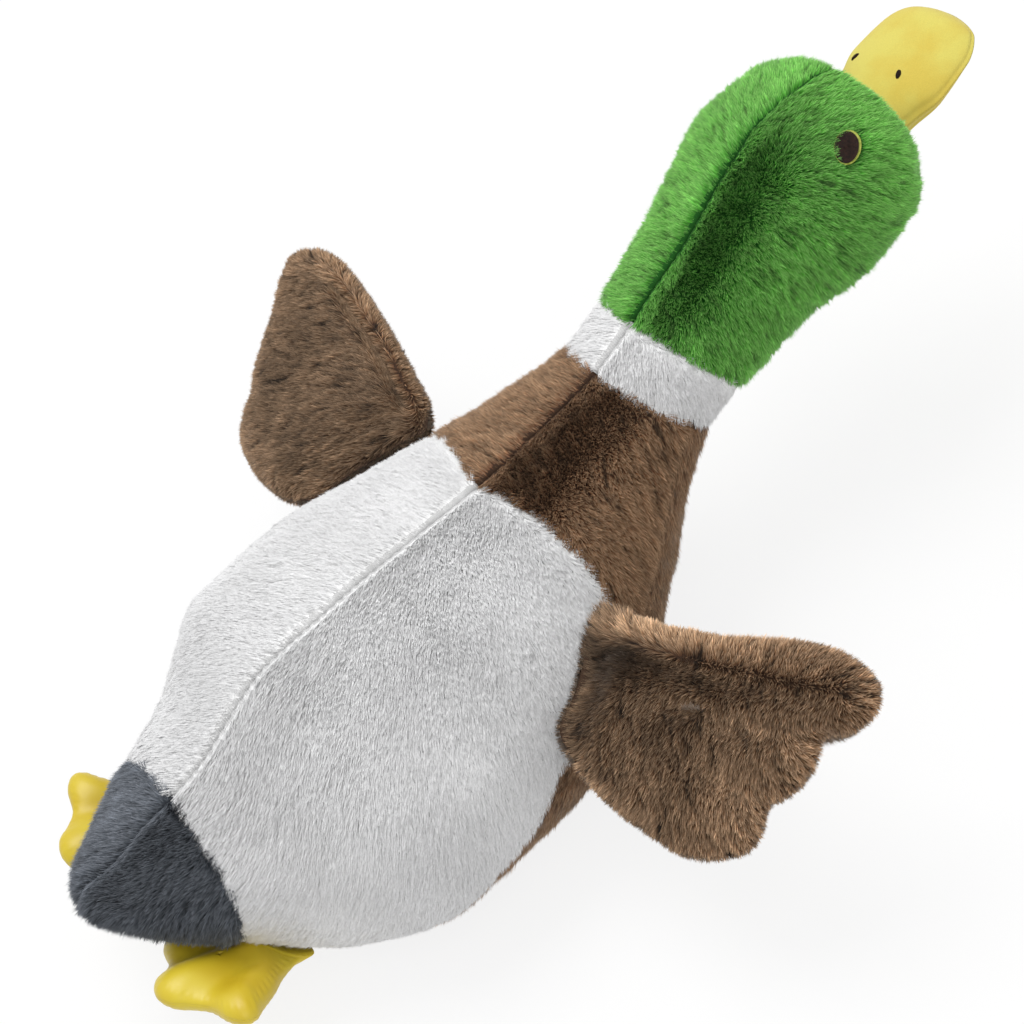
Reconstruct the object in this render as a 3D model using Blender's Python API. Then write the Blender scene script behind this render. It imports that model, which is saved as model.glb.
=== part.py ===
"""A stuffed mallard duck that lies on its belly: sewn panels round shaped fillings.

Metres, +Z up. The bill points along -Y, the duck's left side is at +X, and the floor is z = 0.
Places along the body are measured from the tail tip towards the bill. Angles round the body are
measured from the top, so a seam on the back is at 0 and the middle of the belly is at half a turn.
"""

import math

import bmesh
import bpy
import numpy as np

# Lengths of the panels along the body
TAIL_LENGTH = 0.045
BACK_LENGTH = 0.137
BREAST_LENGTH = 0.052
COLLAR_WIDTH = 0.0185
HEAD_LENGTH = 0.1055

# Largest half sizes across the body, and heights above the floor
TORSO_HALF_WIDTH = 0.0805
TORSO_HALF_HEIGHT = 0.0450
HEAD_HALF_WIDTH = 0.0422
HEAD_HALF_HEIGHT = 0.0290
HEAD_CENTRE_HEIGHT = 0.1000
TAIL_CENTRE_HEIGHT = 0.0580
FLOOR_CUT = 0.0005

# Cloth and clearances
PLUSH_THICKNESS = 0.0016
SUEDE_THICKNESS = 0.0010
SEAM_GAP = 0.0004
FILL_GAP = 0.0003
FACET_GAP = 0.0007

# How far each seam wanders along the body from the top to the side
TAIL_SEAM_SWEEP = 0.0095
BREAST_SEAM_BULGE = 0.0065
COLLAR_LOW_LEAN = 0.0130
COLLAR_TOP_LEAN = 0.0100

# Bill
BILL_LENGTH = 0.0420
BILL_HALF_WIDTH = 0.0221
BILL_HALF_HEIGHT = 0.0085
BILL_BASE_DROP = 0.0010
BILL_RISE = 0.0085
NOSTRIL_HALF_LENGTH = 0.0021
NOSTRIL_HALF_WIDTH = 0.0009
NOSTRIL_SETBACK = 0.0126
NOSTRIL_THICKNESS = 0.0006
NOSTRIL_ANGLE = math.radians(32)
NOSTRIL_TILT = math.radians(40)

# Eyes
EYE_HALF_LENGTH = 0.0053
EYE_HALF_WIDTH = 0.0041
EYE_RIM_WIDTH = 0.0009
EYE_THICKNESS = 0.0010
EYE_SETBACK = 0.0260
EYE_ANGLE = math.radians(53)
EYE_TILT = math.radians(42)

# How far the face is rolled to the duck's left, at the eyes and at the nostrils
EYE_ROLL = math.radians(9)
NOSTRIL_ROLL = math.radians(14)

# Wings
WING_GAP = 0.0008
WING_REACH = 0.0960
WING_CHORD = 0.0780
WING_HALF_THICKNESS = 0.0085
WING_ROOT_HALF_THICKNESS = 0.0018
WING_PINCH_LENGTH = 0.0220
WING_ROOT_PLACE = 0.1655
WING_ROOT_ANGLE = math.radians(66)
WING_LIFT = math.radians(-3)
WING_PITCH = math.radians(10)
WING_TIP_TWIST = math.radians(24)
WING_DROOP = 0.0040

# Feet
FOOT_GAP = 0.0005
FOOT_LENGTH = 0.0508
FOOT_WIDTH = 0.0600
FOOT_HALF_THICKNESS = 0.0062
FOOT_ROOT_HALF_THICKNESS = 0.0016
FOOT_PINCH_LENGTH = 0.0200
FOOT_ROOT_PLACE = 0.0466
FOOT_ROOT_ANGLE = math.radians(137)
FOOT_LIFT = math.radians(29)
FOOT_ROLL = math.radians(15)
FOOT_CURL = 0.0022

# Rows of the torso: where it lies, in panels counted from the tail tip, then shares of the torso's
# half width, of its half height, and of the tail's height for the bottom line
TORSO_ROW_SHARES = (
    (0.00, 0.00, 0.00, 1.00),
    (0.13, 0.17, 0.18, 0.85),
    (0.36, 0.32, 0.28, 0.70),
    (0.76, 0.51, 0.49, 0.44),
    (1.11, 0.765, 0.81, 0.025),
    (1.36, 1.00, 0.985, 0.00),
    (1.62, 0.99, 1.00, 0.00),
    (1.84, 0.92, 0.98, 0.00),
    (2.15, 0.75, 0.87, 0.165),
    (2.63, 0.56, 0.72, 0.435),
)

# Rows of the neck and head: place in panels, then shares of the head's half width, of its half
# height and of its centre height
HEAD_ROW_SHARES = (
    (3.10, 0.81, 0.86, 0.675),
    (4.04, 0.725, 0.75, 0.785),
    (4.26, 0.80, 0.775, 0.868),
    (4.45, 0.89, 0.86, 0.941),
    (4.65, 1.00, 1.00, 0.985),
    (4.85, 0.96, 0.94, 1.010),
    (4.95, 0.77, 0.80, 1.015),
    (4.985, 0.62, 0.60, 1.005),
)

# Rows of the bill: share of its length, of its half width, of its half height and of its rise
BILL_ROW_SHARES = (
    (0.00, 0.80, 1.00, 0.00),
    (0.18, 0.85, 0.93, 0.15),
    (0.40, 1.00, 0.74, 0.45),
    (0.70, 0.94, 0.57, 0.80),
    (0.90, 0.70, 0.42, 1.00),
    (1.00, 0.00, 0.00, 1.00),
)

# The seam between the back and the belly: share of the back's length, then share of half a turn
BELLY_SEAM_SHARES = (
    (-0.03, 1.000),
    (0.02, 0.915),
    (0.11, 0.780),
    (0.26, 0.675),
    (0.44, 0.600),
    (0.60, 0.545),
    (0.74, 0.480),
    (0.90, 0.465),
    (2.00, 0.465),
)

# A wing's outline: shares of its reach outward, and of its chord forward, from the root's middle
WING_OUTLINE_SHARES = (
    (-0.09, 0.23), (0.07, 0.32), (0.22, 0.395), (0.385, 0.49), (0.55, 0.60), (0.70, 0.665),
    (0.845, 0.69), (0.95, 0.655), (1.00, 0.565), (0.96, 0.46), (0.905, 0.40), (0.95, 0.32),
    (0.95, 0.23), (0.905, 0.14), (0.865, 0.09), (0.905, 0.01), (0.895, -0.08), (0.81, -0.19),
    (0.71, -0.255), (0.585, -0.28), (0.415, -0.295), (0.28, -0.305), (0.155, -0.28),
    (0.085, -0.23), (0.045, -0.115), (0.0, 0.0), (-0.045, 0.115),
)
WING_MIDDLE_SHARES = (0.44, 0.13)
WING_HINGE_SHARES = ((0.045, -0.115), (-0.09, 0.23))

# A foot's outline: shares of its length backward from the heel, and of its width outward
FOOT_OUTLINE_SHARES = (
    (0.0, -0.12), (0.13, -0.145), (0.27, -0.22), (0.385, -0.32), (0.52, -0.42), (0.60, -0.485),
    (0.68, -0.49), (0.75, -0.41), (0.79, -0.26), (0.875, -0.17), (0.965, -0.10), (1.0, 0.0),
    (0.965, 0.10), (0.875, 0.17), (0.79, 0.26), (0.75, 0.41), (0.68, 0.49), (0.60, 0.485),
    (0.52, 0.42), (0.385, 0.32), (0.27, 0.22), (0.13, 0.145), (0.0, 0.12),
)
FOOT_MIDDLE_SHARES = (0.56, 0.0)
FOOT_HINGE_SHARES = ((0.0, 0.12), (0.0, -0.12))

BELLY_SQUARENESS = 2.5

# Rows and columns of the panels' meshes
ROWS = {"tail": 6, "back": 13, "breast": 5, "collar": 2, "head": 10}
HALF_COLUMNS = 12
BELLY_COLUMNS = 12
FILLING_COLUMNS = 20
SETTLE_STEPS = 12
SIDES = {"left": 1, "right": -1}

# Colours as red, green, blue, then roughness
GREEN_PLUSH = (0.070, 0.320, 0.045, 0.95)
WHITE_PLUSH = (0.700, 0.705, 0.710, 0.95)
BROWN_PLUSH = (0.150, 0.092, 0.055, 0.95)
GREY_PLUSH = (0.085, 0.098, 0.115, 0.95)
YELLOW_SUEDE = (0.780, 0.600, 0.090, 0.75)
YELLOW_VINYL = (0.700, 0.500, 0.025, 0.35)
DARK_THREAD = (0.020, 0.010, 0.008, 0.60)
RIM_THREAD = (0.450, 0.480, 0.090, 0.70)
STUFFING = (0.800, 0.790, 0.760, 1.00)


def clear_scene():
    for thing in list(bpy.data.objects):
        bpy.data.objects.remove(thing, do_unlink=True)


def material(name, look):
    made = bpy.data.materials.get(name)
    if made is None:
        made = bpy.data.materials.new(name)
        made.use_nodes = True
        shader = made.node_tree.nodes["Principled BSDF"]
        shader.inputs["Base Color"].default_value = (*look[:3], 1.0)
        shader.inputs["Roughness"].default_value = look[3]
        shader.inputs["Metallic"].default_value = 0.0
    return made


def place_of(panels):
    """A place along the body from a count of panels: 1 is the tail seam, 2 the breast seam."""
    lengths = (TAIL_LENGTH, BACK_LENGTH, BREAST_LENGTH, COLLAR_WIDTH, HEAD_LENGTH)
    whole = min(int(panels), len(lengths) - 1)
    return sum(lengths[:whole]) + lengths[whole] * (panels - whole)


def forward_of(place):
    """Y of a place along the body; the duck's middle is over the origin."""
    return (place_of(5) + BILL_LENGTH) / 2 - place


def smooth_curve(places, values):
    """A curve through the values that never overshoots them."""
    places, values = np.array(places), np.array(values)
    steps = np.diff(places)
    slopes = np.diff(values) / steps
    tangents = np.zeros(len(places))
    tangents[0], tangents[-1] = slopes[0], slopes[-1]
    for i in range(1, len(places) - 1):
        if slopes[i - 1] * slopes[i] > 0:
            before, after = steps[i - 1], steps[i]
            heavy, light = 2 * after + before, after + 2 * before
            tangents[i] = (heavy + light) / (heavy / slopes[i - 1] + light / slopes[i])

    def value(place):
        place = min(max(place, places[0]), places[-1])
        i = min(int(np.searchsorted(places, place, side="right")) - 1, len(steps) - 1)
        t = (place - places[i]) / steps[i]
        rise = values[i + 1] - values[i]
        start, end = tangents[i] * steps[i], tangents[i + 1] * steps[i]
        return values[i] + t * (start + t * (3 * rise - 2 * start - end + t * (start + end - 2 * rise)))

    return value


class Loft:
    """A soft body of oval sections across Y, with squarer sections below the middle."""

    def __init__(self, rows):
        places = [row[0] for row in rows]
        self.start, self.end = places[0], places[-1]
        self.width_squared = smooth_curve(places, [row[1] ** 2 for row in rows])
        self.height_squared = smooth_curve(places, [row[2] ** 2 for row in rows])
        self.centre = smooth_curve(places, [row[3] for row in rows])
        self.step = (self.end - self.start) / 2000

    def half_width(self, place):
        return math.sqrt(max(self.width_squared(place), 0))

    def raw_point(self, place, angle):
        side, up = math.sin(angle), math.cos(angle)
        power = 1.0 if up >= 0 else 2 / BELLY_SQUARENESS
        height = math.sqrt(max(self.height_squared(place), 0))
        x = self.half_width(place) * math.copysign(abs(side) ** power, side)
        z = self.centre(place) + height * math.copysign(abs(up) ** power, up)
        return np.array([x, forward_of(place), z])

    def normal(self, place, angle):
        if place >= self.end - self.step:
            return np.array([0.0, -1.0, 0.0])
        if place <= self.start + self.step:
            return np.array([0.0, 1.0, 0.0])
        turn = math.pi / 360
        along = self.raw_point(place + self.step, angle) - self.raw_point(place - self.step, angle)
        around = self.raw_point(place, angle + turn) - self.raw_point(place, angle - turn)
        out = np.cross(along, around)
        return out / np.linalg.norm(out)

    def point(self, place, angle, depth=0.0):
        """A point at a depth under the surface."""
        return self.raw_point(place, angle) - self.normal(place, angle) * depth


def bill_base_height():
    """The bill is sewn a little below the middle of the head's front edge."""
    return HEAD_ROW_SHARES[-1][3] * HEAD_CENTRE_HEIGHT - BILL_BASE_DROP


def body_loft():
    rows = []
    for panels, width, height, bottom in TORSO_ROW_SHARES:
        half_height = height * TORSO_HALF_HEIGHT
        centre = bottom * TAIL_CENTRE_HEIGHT + half_height - FLOOR_CUT
        rows.append((place_of(panels), width * TORSO_HALF_WIDTH, half_height, centre))
    for panels, width, height, centre in HEAD_ROW_SHARES:
        sizes = (width * HEAD_HALF_WIDTH, height * HEAD_HALF_HEIGHT, centre * HEAD_CENTRE_HEIGHT)
        rows.append((place_of(panels), *sizes))
    base = BILL_ROW_SHARES[0]
    mouth = (base[1] * BILL_HALF_WIDTH + SEAM_GAP, base[2] * BILL_HALF_HEIGHT + SEAM_GAP)
    rows.append((place_of(5), *mouth, bill_base_height()))
    return Loft(rows)


def bill_loft(inset=0.0):
    """The bill's surface, or one that lies inside it."""
    base = place_of(5) - PLUSH_THICKNESS
    rows = []
    for along, width, height, rise in BILL_ROW_SHARES:
        place = base + along * (BILL_LENGTH + PLUSH_THICKNESS)
        half_width = max(width * BILL_HALF_WIDTH - inset, 0)
        half_height = max(height * BILL_HALF_HEIGHT - inset, 0)
        rows.append((place, half_width, half_height, bill_base_height() + rise * BILL_RISE))
    return Loft(rows)


def tail_seam(angle):
    return place_of(1) - TAIL_SEAM_SWEEP * (1 - math.cos(angle))


def breast_seam(angle):
    wave = min(abs(angle) / (BELLY_SEAM_SHARES[-1][1] * math.pi), 1.0)
    return place_of(2) + BREAST_SEAM_BULGE * math.sin(math.pi * wave)


def collar_low_seam(angle):
    return place_of(3) + COLLAR_LOW_LEAN * (1 - math.cos(angle))


def collar_top_seam(angle):
    return place_of(4) + COLLAR_TOP_LEAN * (1 - math.cos(angle))


def belly_seam_curve():
    places = [TAIL_LENGTH + share * BACK_LENGTH for share, _ in BELLY_SEAM_SHARES]
    return smooth_curve(places, [turn * math.pi for _, turn in BELLY_SEAM_SHARES])


def add_object(name, mesh_data, look_name, look, origin=None):
    """An object from a bmesh, with its faces turned outward and its origin where it is told."""
    bmesh.ops.recalc_face_normals(mesh_data, faces=mesh_data.faces[:])
    mesh = bpy.data.meshes.new(name)
    mesh_data.to_mesh(mesh)
    mesh_data.free()
    made = bpy.data.objects.new(name, mesh)
    bpy.context.scene.collection.objects.link(made)
    mesh.shade_smooth()
    mesh.set_sharp_from_angle(angle=math.radians(50))
    mesh.materials.append(material(look_name, look))
    if origin is not None:
        for vertex in mesh.vertices:
            vertex.co = vertex.co - type(vertex.co)(origin)
        made.location = origin
    return made


def add_grid(work, points):
    """Quads over a grid of points; returns the grid of vertices."""
    vertices = [[work.verts.new(point) for point in row] for row in points]
    for upper, lower in zip(vertices, vertices[1:]):
        for a, b, c, d in zip(upper, upper[1:], lower[1:], lower):
            work.faces.new((a, b, c, d))
    return vertices


def grid_edge(vertices):
    """The vertices round a grid, in order."""
    down = [row[-1] for row in vertices[1:-1]]
    up = [row[0] for row in reversed(vertices[1:-1])]
    return vertices[0] + down + list(reversed(vertices[-1])) + up


def shell_from_grids(outer, inner):
    """One closed body between two grids of points, with a wall along their edges."""
    work = bmesh.new()
    skins = [grid_edge(add_grid(work, points)) for points in (outer, inner)]
    count = len(skins[0])
    for i in range(count):
        j = (i + 1) % count
        work.faces.new((skins[0][i], skins[0][j], skins[1][j], skins[1][i]))
    bmesh.ops.remove_doubles(work, verts=work.verts[:], dist=SEAM_GAP / 8)
    loose = [face for face in work.faces if face.calc_area() < SEAM_GAP**2 / 1e6]
    if loose:
        bmesh.ops.delete(work, geom=loose, context="FACES")
    bmesh.ops.holes_fill(work, edges=work.edges[:], sides=6)
    return work


def between(start, end, rows, ease=None):
    """The lines a panel's rows follow: the place of row i at an angle."""
    def line(i, angle):
        share = i / rows if ease is None else ease(i / rows)
        return start(angle) + (end(angle) - start(angle)) * share
    return line


def settle(line, i, angle_at, guess):
    """The place and angle where row i meets an edge whose angle depends on the place."""
    place = guess
    for _ in range(SETTLE_STEPS):
        angle = angle_at(place)
        place = line(i, angle)
    return place, angle


def sewn_panel(name, loft, line, first_angle, last_angle, counts, side, look_name, look,
               thickness=PLUSH_THICKNESS, shift=(0.0, 0.0, 0.0)):
    """A panel of cloth on a loft. line gives its rows, and first_angle and last_angle its two
    other edges from a place."""
    rows, columns = counts
    skins = ([], [])
    for i in range(rows + 1):
        lines = ([], [])
        for j in range(columns + 1):
            def angle_at(place, share=j / columns):
                low, high = first_angle(place), last_angle(place)
                return low + (high - low) * share
            place, angle = settle(line, i, angle_at, line(i, 0.0))
            for found, depth in zip(lines, (0.0, thickness)):
                x, y, z = loft.point(place, angle, depth)
                found.append((side * x + shift[0], y + shift[1], z + shift[2]))
        for skin, found in zip(skins, lines):
            skin.append(found)
    return add_object(name, shell_from_grids(*skins), look_name, look)


def ease_out(share):
    """Sets rows closer together near the end."""
    return math.sin(share * math.pi / 2)


def ease_in(share):
    """Sets rows closer together near the start."""
    return 1 - math.cos(share * math.pi / 2)


def filling(name, loft, start, end, depth, rows, columns, ease=None, origin=None):
    """A closed core inside the cloth, with a fan over each end."""
    work = bmesh.new()
    rings = []
    for i in range(rows + 1):
        share = i / rows if ease is None else ease(i / rows)
        ring = []
        for j in range(columns):
            angle = 2 * math.pi * j / columns
            place = start(angle) + (end(angle) - start(angle)) * share
            ring.append(work.verts.new(loft.point(place, angle, depth)))
        rings.append(ring)
    for back, front in zip(rings, rings[1:]):
        for j in range(columns):
            k = (j + 1) % columns
            work.faces.new((back[j], back[k], front[k], front[j]))
    for ring in (rings[0], rings[-1]):
        middle = sum((vertex.co for vertex in ring), start=ring[0].co * 0) / columns
        centre = work.verts.new(middle)
        for j in range(columns):
            work.faces.new((ring[j], ring[(j + 1) % columns], centre))
    bmesh.ops.remove_doubles(work, verts=work.verts[:], dist=FILL_GAP / 8)
    return add_object(name, work, "stuffing", STUFFING, origin)


def back_line():
    half = SEAM_GAP / 2
    return between(lambda angle: tail_seam(angle) + half, lambda angle: breast_seam(angle) - half,
                   ROWS["back"])


def breast_line():
    half = SEAM_GAP / 2
    return between(lambda angle: breast_seam(angle) + half,
                   lambda angle: collar_low_seam(angle) - half, ROWS["breast"])


def build_body_panels(loft):
    seam = belly_seam_curve()
    half = SEAM_GAP / 2
    tail_line = between(lambda angle: loft.start, lambda angle: tail_seam(angle) - half,
                        ROWS["tail"], ease_in)
    collar_line = between(lambda angle: collar_low_seam(angle) + half,
                          lambda angle: collar_top_seam(angle) - half, ROWS["collar"])
    head_line = between(lambda angle: collar_top_seam(angle) + half, lambda angle: place_of(5),
                        ROWS["head"], ease_out)
    panels = (
        ("tail", tail_line, None, "grey_plush", GREY_PLUSH),
        ("back", back_line(), seam, "white_plush", WHITE_PLUSH),
        ("breast", breast_line(), seam, "brown_plush", BROWN_PLUSH),
        ("collar", collar_line, None, "white_plush", WHITE_PLUSH),
        ("head", head_line, None, "green_plush", GREEN_PLUSH),
    )
    for side_name, side in SIDES.items():
        for name, line, last, look_name, look in panels:
            sewn_panel(f"{name}_{side_name}", loft, line, lambda place: 0.0,
                       last or (lambda place: math.pi), (ROWS[name], HALF_COLUMNS), side,
                       look_name, look, shift=(side * half, 0.0, 0.0))


def build_belly_panel(loft):
    """The gusset under the body. Its rows meet those of the back and the breast."""
    seam = belly_seam_curve()

    def clear(place):
        return min(seam(place) + SEAM_GAP / max(loft.half_width(place), SEAM_GAP), math.pi)

    edges = [settle(back_line(), i, seam, tail_seam(math.pi)) for i in range(ROWS["back"] + 1)]
    tip = max(i for i, edge in enumerate(edges) if clear(edge[0]) >= math.pi)
    edges = edges[tip:]
    back_rows = len(edges)
    edges += [settle(breast_line(), i, seam, place_of(2)) for i in range(ROWS["breast"] + 1)][1:]

    def line(i, angle):
        place, edge_angle = edges[i]
        leant = max(i + 1 - back_rows, 0) / ROWS["breast"]
        return place + leant * (collar_low_seam(angle) - collar_low_seam(edge_angle))

    panel = sewn_panel("belly_panel", loft, line, clear, lambda place: 2 * math.pi - clear(place),
                       (len(edges) - 1, BELLY_COLUMNS), 1, "brown_plush", BROWN_PLUSH)
    rest_flat(panel)


def rest_flat(made):
    """Cuts a piece flat where it stands on the floor."""
    work = bmesh.new()
    work.from_mesh(made.data)
    everything = work.verts[:] + work.edges[:] + work.faces[:]
    bmesh.ops.bisect_plane(work, geom=everything, plane_co=(0, 0, 0), plane_no=(0, 0, 1),
                           clear_inner=True)
    bmesh.ops.holes_fill(work, edges=[edge for edge in work.edges if edge.is_boundary])
    bmesh.ops.recalc_face_normals(work, faces=work.faces[:])
    work.to_mesh(made.data)
    work.free()


def build_body_fillings(loft):
    depth = PLUSH_THICKNESS + FILL_GAP + FACET_GAP
    half = FILL_GAP / 2
    filling("body_filling", loft, lambda angle: loft.start,
            lambda angle: collar_low_seam(angle) - half, depth, 16, FILLING_COLUMNS)
    filling("neck_filling", loft, lambda angle: collar_low_seam(angle) + half,
            lambda angle: collar_top_seam(angle) - half, depth, 2, FILLING_COLUMNS)
    filling("head_filling", loft, lambda angle: collar_top_seam(angle) + half,
            lambda angle: loft.end, depth, 8, FILLING_COLUMNS, ease_out)


def build_bill(loft):
    half = SEAM_GAP / 2
    halves = {"bill_upper": (-0.5, half), "bill_lower": (0.5, -half)}
    for name, (first, shift) in halves.items():
        sewn_panel(name, loft, between(lambda angle: loft.start, lambda angle: loft.end, 8, ease_out),
                   lambda place, turn=first: turn * math.pi,
                   lambda place, turn=first: (turn + 1) * math.pi, (8, 8), 1,
                   "yellow_suede", YELLOW_SUEDE, thickness=SUEDE_THICKNESS,
                   shift=(0.0, 0.0, shift))
    inset = SUEDE_THICKNESS + FILL_GAP + FACET_GAP
    filling("bill_filling", bill_loft(inset), lambda angle: loft.start + inset,
            lambda angle: loft.start + (loft.end - loft.start) * BILL_ROW_SHARES[-2][0], 0.0, 5, 12)


def surface_disc(name, loft, place, angle, half_sizes, tilt, inner_share, heights, side,
                 look_name, look):
    """A stitched oval that follows a loft, or an oval ring if inner_share isn't zero. heights are
    its underside, its edge and its crown above the surface."""
    across = loft.half_width(place)
    columns = 16
    under, edge, crown = heights

    def at(share, turn, height):
        long_way, wide_way = half_sizes[0] * share * math.cos(turn), half_sizes[1] * share * math.sin(turn)
        along = long_way * math.cos(tilt) - wide_way * math.sin(tilt)
        down = long_way * math.sin(tilt) + wide_way * math.cos(tilt)
        x, y, z = loft.point(place + along, angle - down / across, -height)
        return (side * x, y, z)

    work = bmesh.new()
    rings = []
    if inner_share:
        middle = (1 + inner_share) / 2
        layout = ((inner_share, under), (inner_share, edge), (middle, crown), (1.0, edge), (1.0, under))
    else:
        layout = ((0.5, under), (1.0, under), (1.0, edge), (0.5, crown))
    for share, height in layout:
        rings.append([work.verts.new(at(share, 2 * math.pi * j / columns, height)) for j in range(columns)])
    pairs = list(zip(rings, rings[1:]))
    if inner_share:
        pairs.append((rings[-1], rings[0]))
    for first, second in pairs:
        for j in range(columns):
            k = (j + 1) % columns
            work.faces.new((first[j], first[k], second[k], second[j]))
    if not inner_share:
        for ring, height in ((rings[0], under), (rings[-1], crown)):
            centre = work.verts.new(at(0.0, 0.0, height))
            for j in range(columns):
                work.faces.new((ring[j], ring[(j + 1) % columns], centre))
    return add_object(name, work, look_name, look)


def build_face(body, bill):
    eye_place = place_of(5) - EYE_SETBACK
    for side_name, side in SIDES.items():
        rim_sizes = (EYE_HALF_LENGTH + EYE_RIM_WIDTH, EYE_HALF_WIDTH + EYE_RIM_WIDTH)
        share = (EYE_HALF_WIDTH + SEAM_GAP) / rim_sizes[1]
        eye_angle = EYE_ANGLE + side * EYE_ROLL
        surface_disc(f"eye_{side_name}", body, eye_place, eye_angle,
                     (EYE_HALF_LENGTH - SEAM_GAP, EYE_HALF_WIDTH - SEAM_GAP), EYE_TILT, 0.0,
                     (SEAM_GAP, EYE_THICKNESS / 2, EYE_THICKNESS), side, "dark_thread", DARK_THREAD)
        surface_disc(f"eye_rim_{side_name}", body, eye_place, eye_angle, rim_sizes, EYE_TILT, share,
                     (SEAM_GAP, EYE_THICKNESS / 2, EYE_THICKNESS), side, "rim_thread", RIM_THREAD)
        surface_disc(f"nostril_{side_name}", bill, bill.start + PLUSH_THICKNESS + NOSTRIL_SETBACK,
                     NOSTRIL_ANGLE + side * NOSTRIL_ROLL, (NOSTRIL_HALF_LENGTH, NOSTRIL_HALF_WIDTH),
                     NOSTRIL_TILT, 0.0, (SEAM_GAP, NOSTRIL_THICKNESS, NOSTRIL_THICKNESS), side,
                     "dark_thread", DARK_THREAD)


class Limb:
    """A flat stuffed limb: its frame, its outline, and how thick it is."""

    def __init__(self, root, out, forward, outline, middle, sizes, half_thickness, root_half,
                 pinch, twist, droop, hinge):
        self.root, self.out, self.forward = root, out, forward
        self.up = np.cross(out, forward)
        self.up = self.up * math.copysign(1.0, self.up[2])
        self.sizes = np.array(sizes)
        self.middle = np.array(middle) * self.sizes
        self.rim = [np.array(point) * self.sizes for point in outline]
        self.half_thickness, self.root_half, self.pinch = half_thickness, root_half, pinch
        self.twist, self.droop = twist, droop
        self.hinge_start, self.hinge_end = (np.array(point) * self.sizes for point in hinge)

    def from_hinge(self, flat):
        """How far a point of the flat outline lies from the root line."""
        line = self.hinge_end - self.hinge_start
        away = flat - self.hinge_start
        return abs(line[0] * away[1] - line[1] * away[0]) / np.linalg.norm(line)

    def half_height(self, flat, share):
        pinched = min(self.from_hinge(flat) / self.pinch, 1.0)
        pinched = pinched * pinched * (3 - 2 * pinched)
        full = self.root_half + (self.half_thickness - self.root_half) * pinched
        return full * math.sqrt(max(1 - share**3, 0))

    def place(self, flat, height):
        reach = max(flat[0], 0.0) / self.sizes[0]
        bend = flat[1] * math.tan(self.twist) * reach - self.droop * reach**2
        return self.root + self.out * flat[0] + self.forward * flat[1] + self.up * (height + bend)

    def dome(self, work, inset, floor, rise, shares):
        """Rings of vertices from the rim, drawn in by inset, to the middle."""
        rings = []
        for share in shares:
            ring = []
            for rim in self.rim:
                away = rim - self.middle
                length = np.linalg.norm(away)
                reduced = share * (length - inset) / length
                flat = self.middle + away * reduced
                top = self.half_height(flat, reduced) - rise
                ring.append(work.verts.new(self.place(flat, math.copysign(max(abs(floor), top), floor))))
            rings.append(ring)
        return rings


def close_rings(work, rings, cap=True):
    count = len(rings[0])
    for first, second in zip(rings, rings[1:]):
        for j in range(count):
            k = (j + 1) % count
            work.faces.new((first[j], first[k], second[k], second[j]))
    if cap:
        middle = sum((vertex.co for vertex in rings[-1]), start=rings[-1][0].co * 0) / count
        centre = work.verts.new(middle)
        for j in range(count):
            work.faces.new((rings[-1][j], rings[-1][(j + 1) % count], centre))


def limb_panel(name, limb, way, thickness, look_name, look, origin):
    """The upper or lower cloth of a limb: a domed shell that ends on the limb's middle plane."""
    work = bmesh.new()
    floor = way * SEAM_GAP / 2
    outer = limb.dome(work, 0.0, floor, 0.0, (1.0, 0.97, 0.85, 0.6, 0.3))
    inner = limb.dome(work, thickness, floor, thickness, (1.0, 0.85, 0.45))
    close_rings(work, outer)
    close_rings(work, inner)
    close_rings(work, (outer[0], inner[0]), cap=False)
    return add_object(name, work, look_name, look, origin)


def limb_filling(name, limb, thickness, origin):
    work = bmesh.new()
    inset, rise = thickness * 2 + FILL_GAP, thickness + FILL_GAP + FACET_GAP
    halves = []
    for way in (1, -1):
        floor = way * FILL_GAP / 2
        halves.append(limb.dome(work, inset, floor, rise, (0.97, 0.85, 0.45)))
        close_rings(work, halves[-1])
    close_rings(work, (halves[0][0], halves[1][0]), cap=False)
    return add_object(name, work, "stuffing", STUFFING, origin)


def build_limb(prefix, side_name, limb, thickness, upper, lower, looks):
    origin = tuple(limb.root)
    limb_panel(f"{prefix}_{upper}_{side_name}", limb, 1, thickness, *looks, origin)
    limb_panel(f"{prefix}_{lower}_{side_name}", limb, -1, thickness, *looks, origin)
    limb_filling(f"{prefix}_filling_{side_name}", limb, thickness, origin)


def build_wings(loft):
    for side_name, side in SIDES.items():
        root = loft.point(WING_ROOT_PLACE, WING_ROOT_ANGLE, -WING_GAP) * np.array([side, 1, 1])
        out = np.array([side * math.cos(WING_LIFT), 0.0, math.sin(WING_LIFT)])
        forward = np.array([0.0, -math.cos(WING_PITCH), math.sin(WING_PITCH)])
        forward = forward - out * float(forward @ out)
        forward = forward / np.linalg.norm(forward)
        limb = Limb(root, out, forward, WING_OUTLINE_SHARES, WING_MIDDLE_SHARES,
                    (WING_REACH, WING_CHORD), WING_HALF_THICKNESS, WING_ROOT_HALF_THICKNESS,
                    WING_PINCH_LENGTH, WING_TIP_TWIST, WING_DROOP, WING_HINGE_SHARES)
        build_limb("wing", side_name, limb, PLUSH_THICKNESS, "top", "under",
                   ("brown_plush", BROWN_PLUSH))


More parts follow.
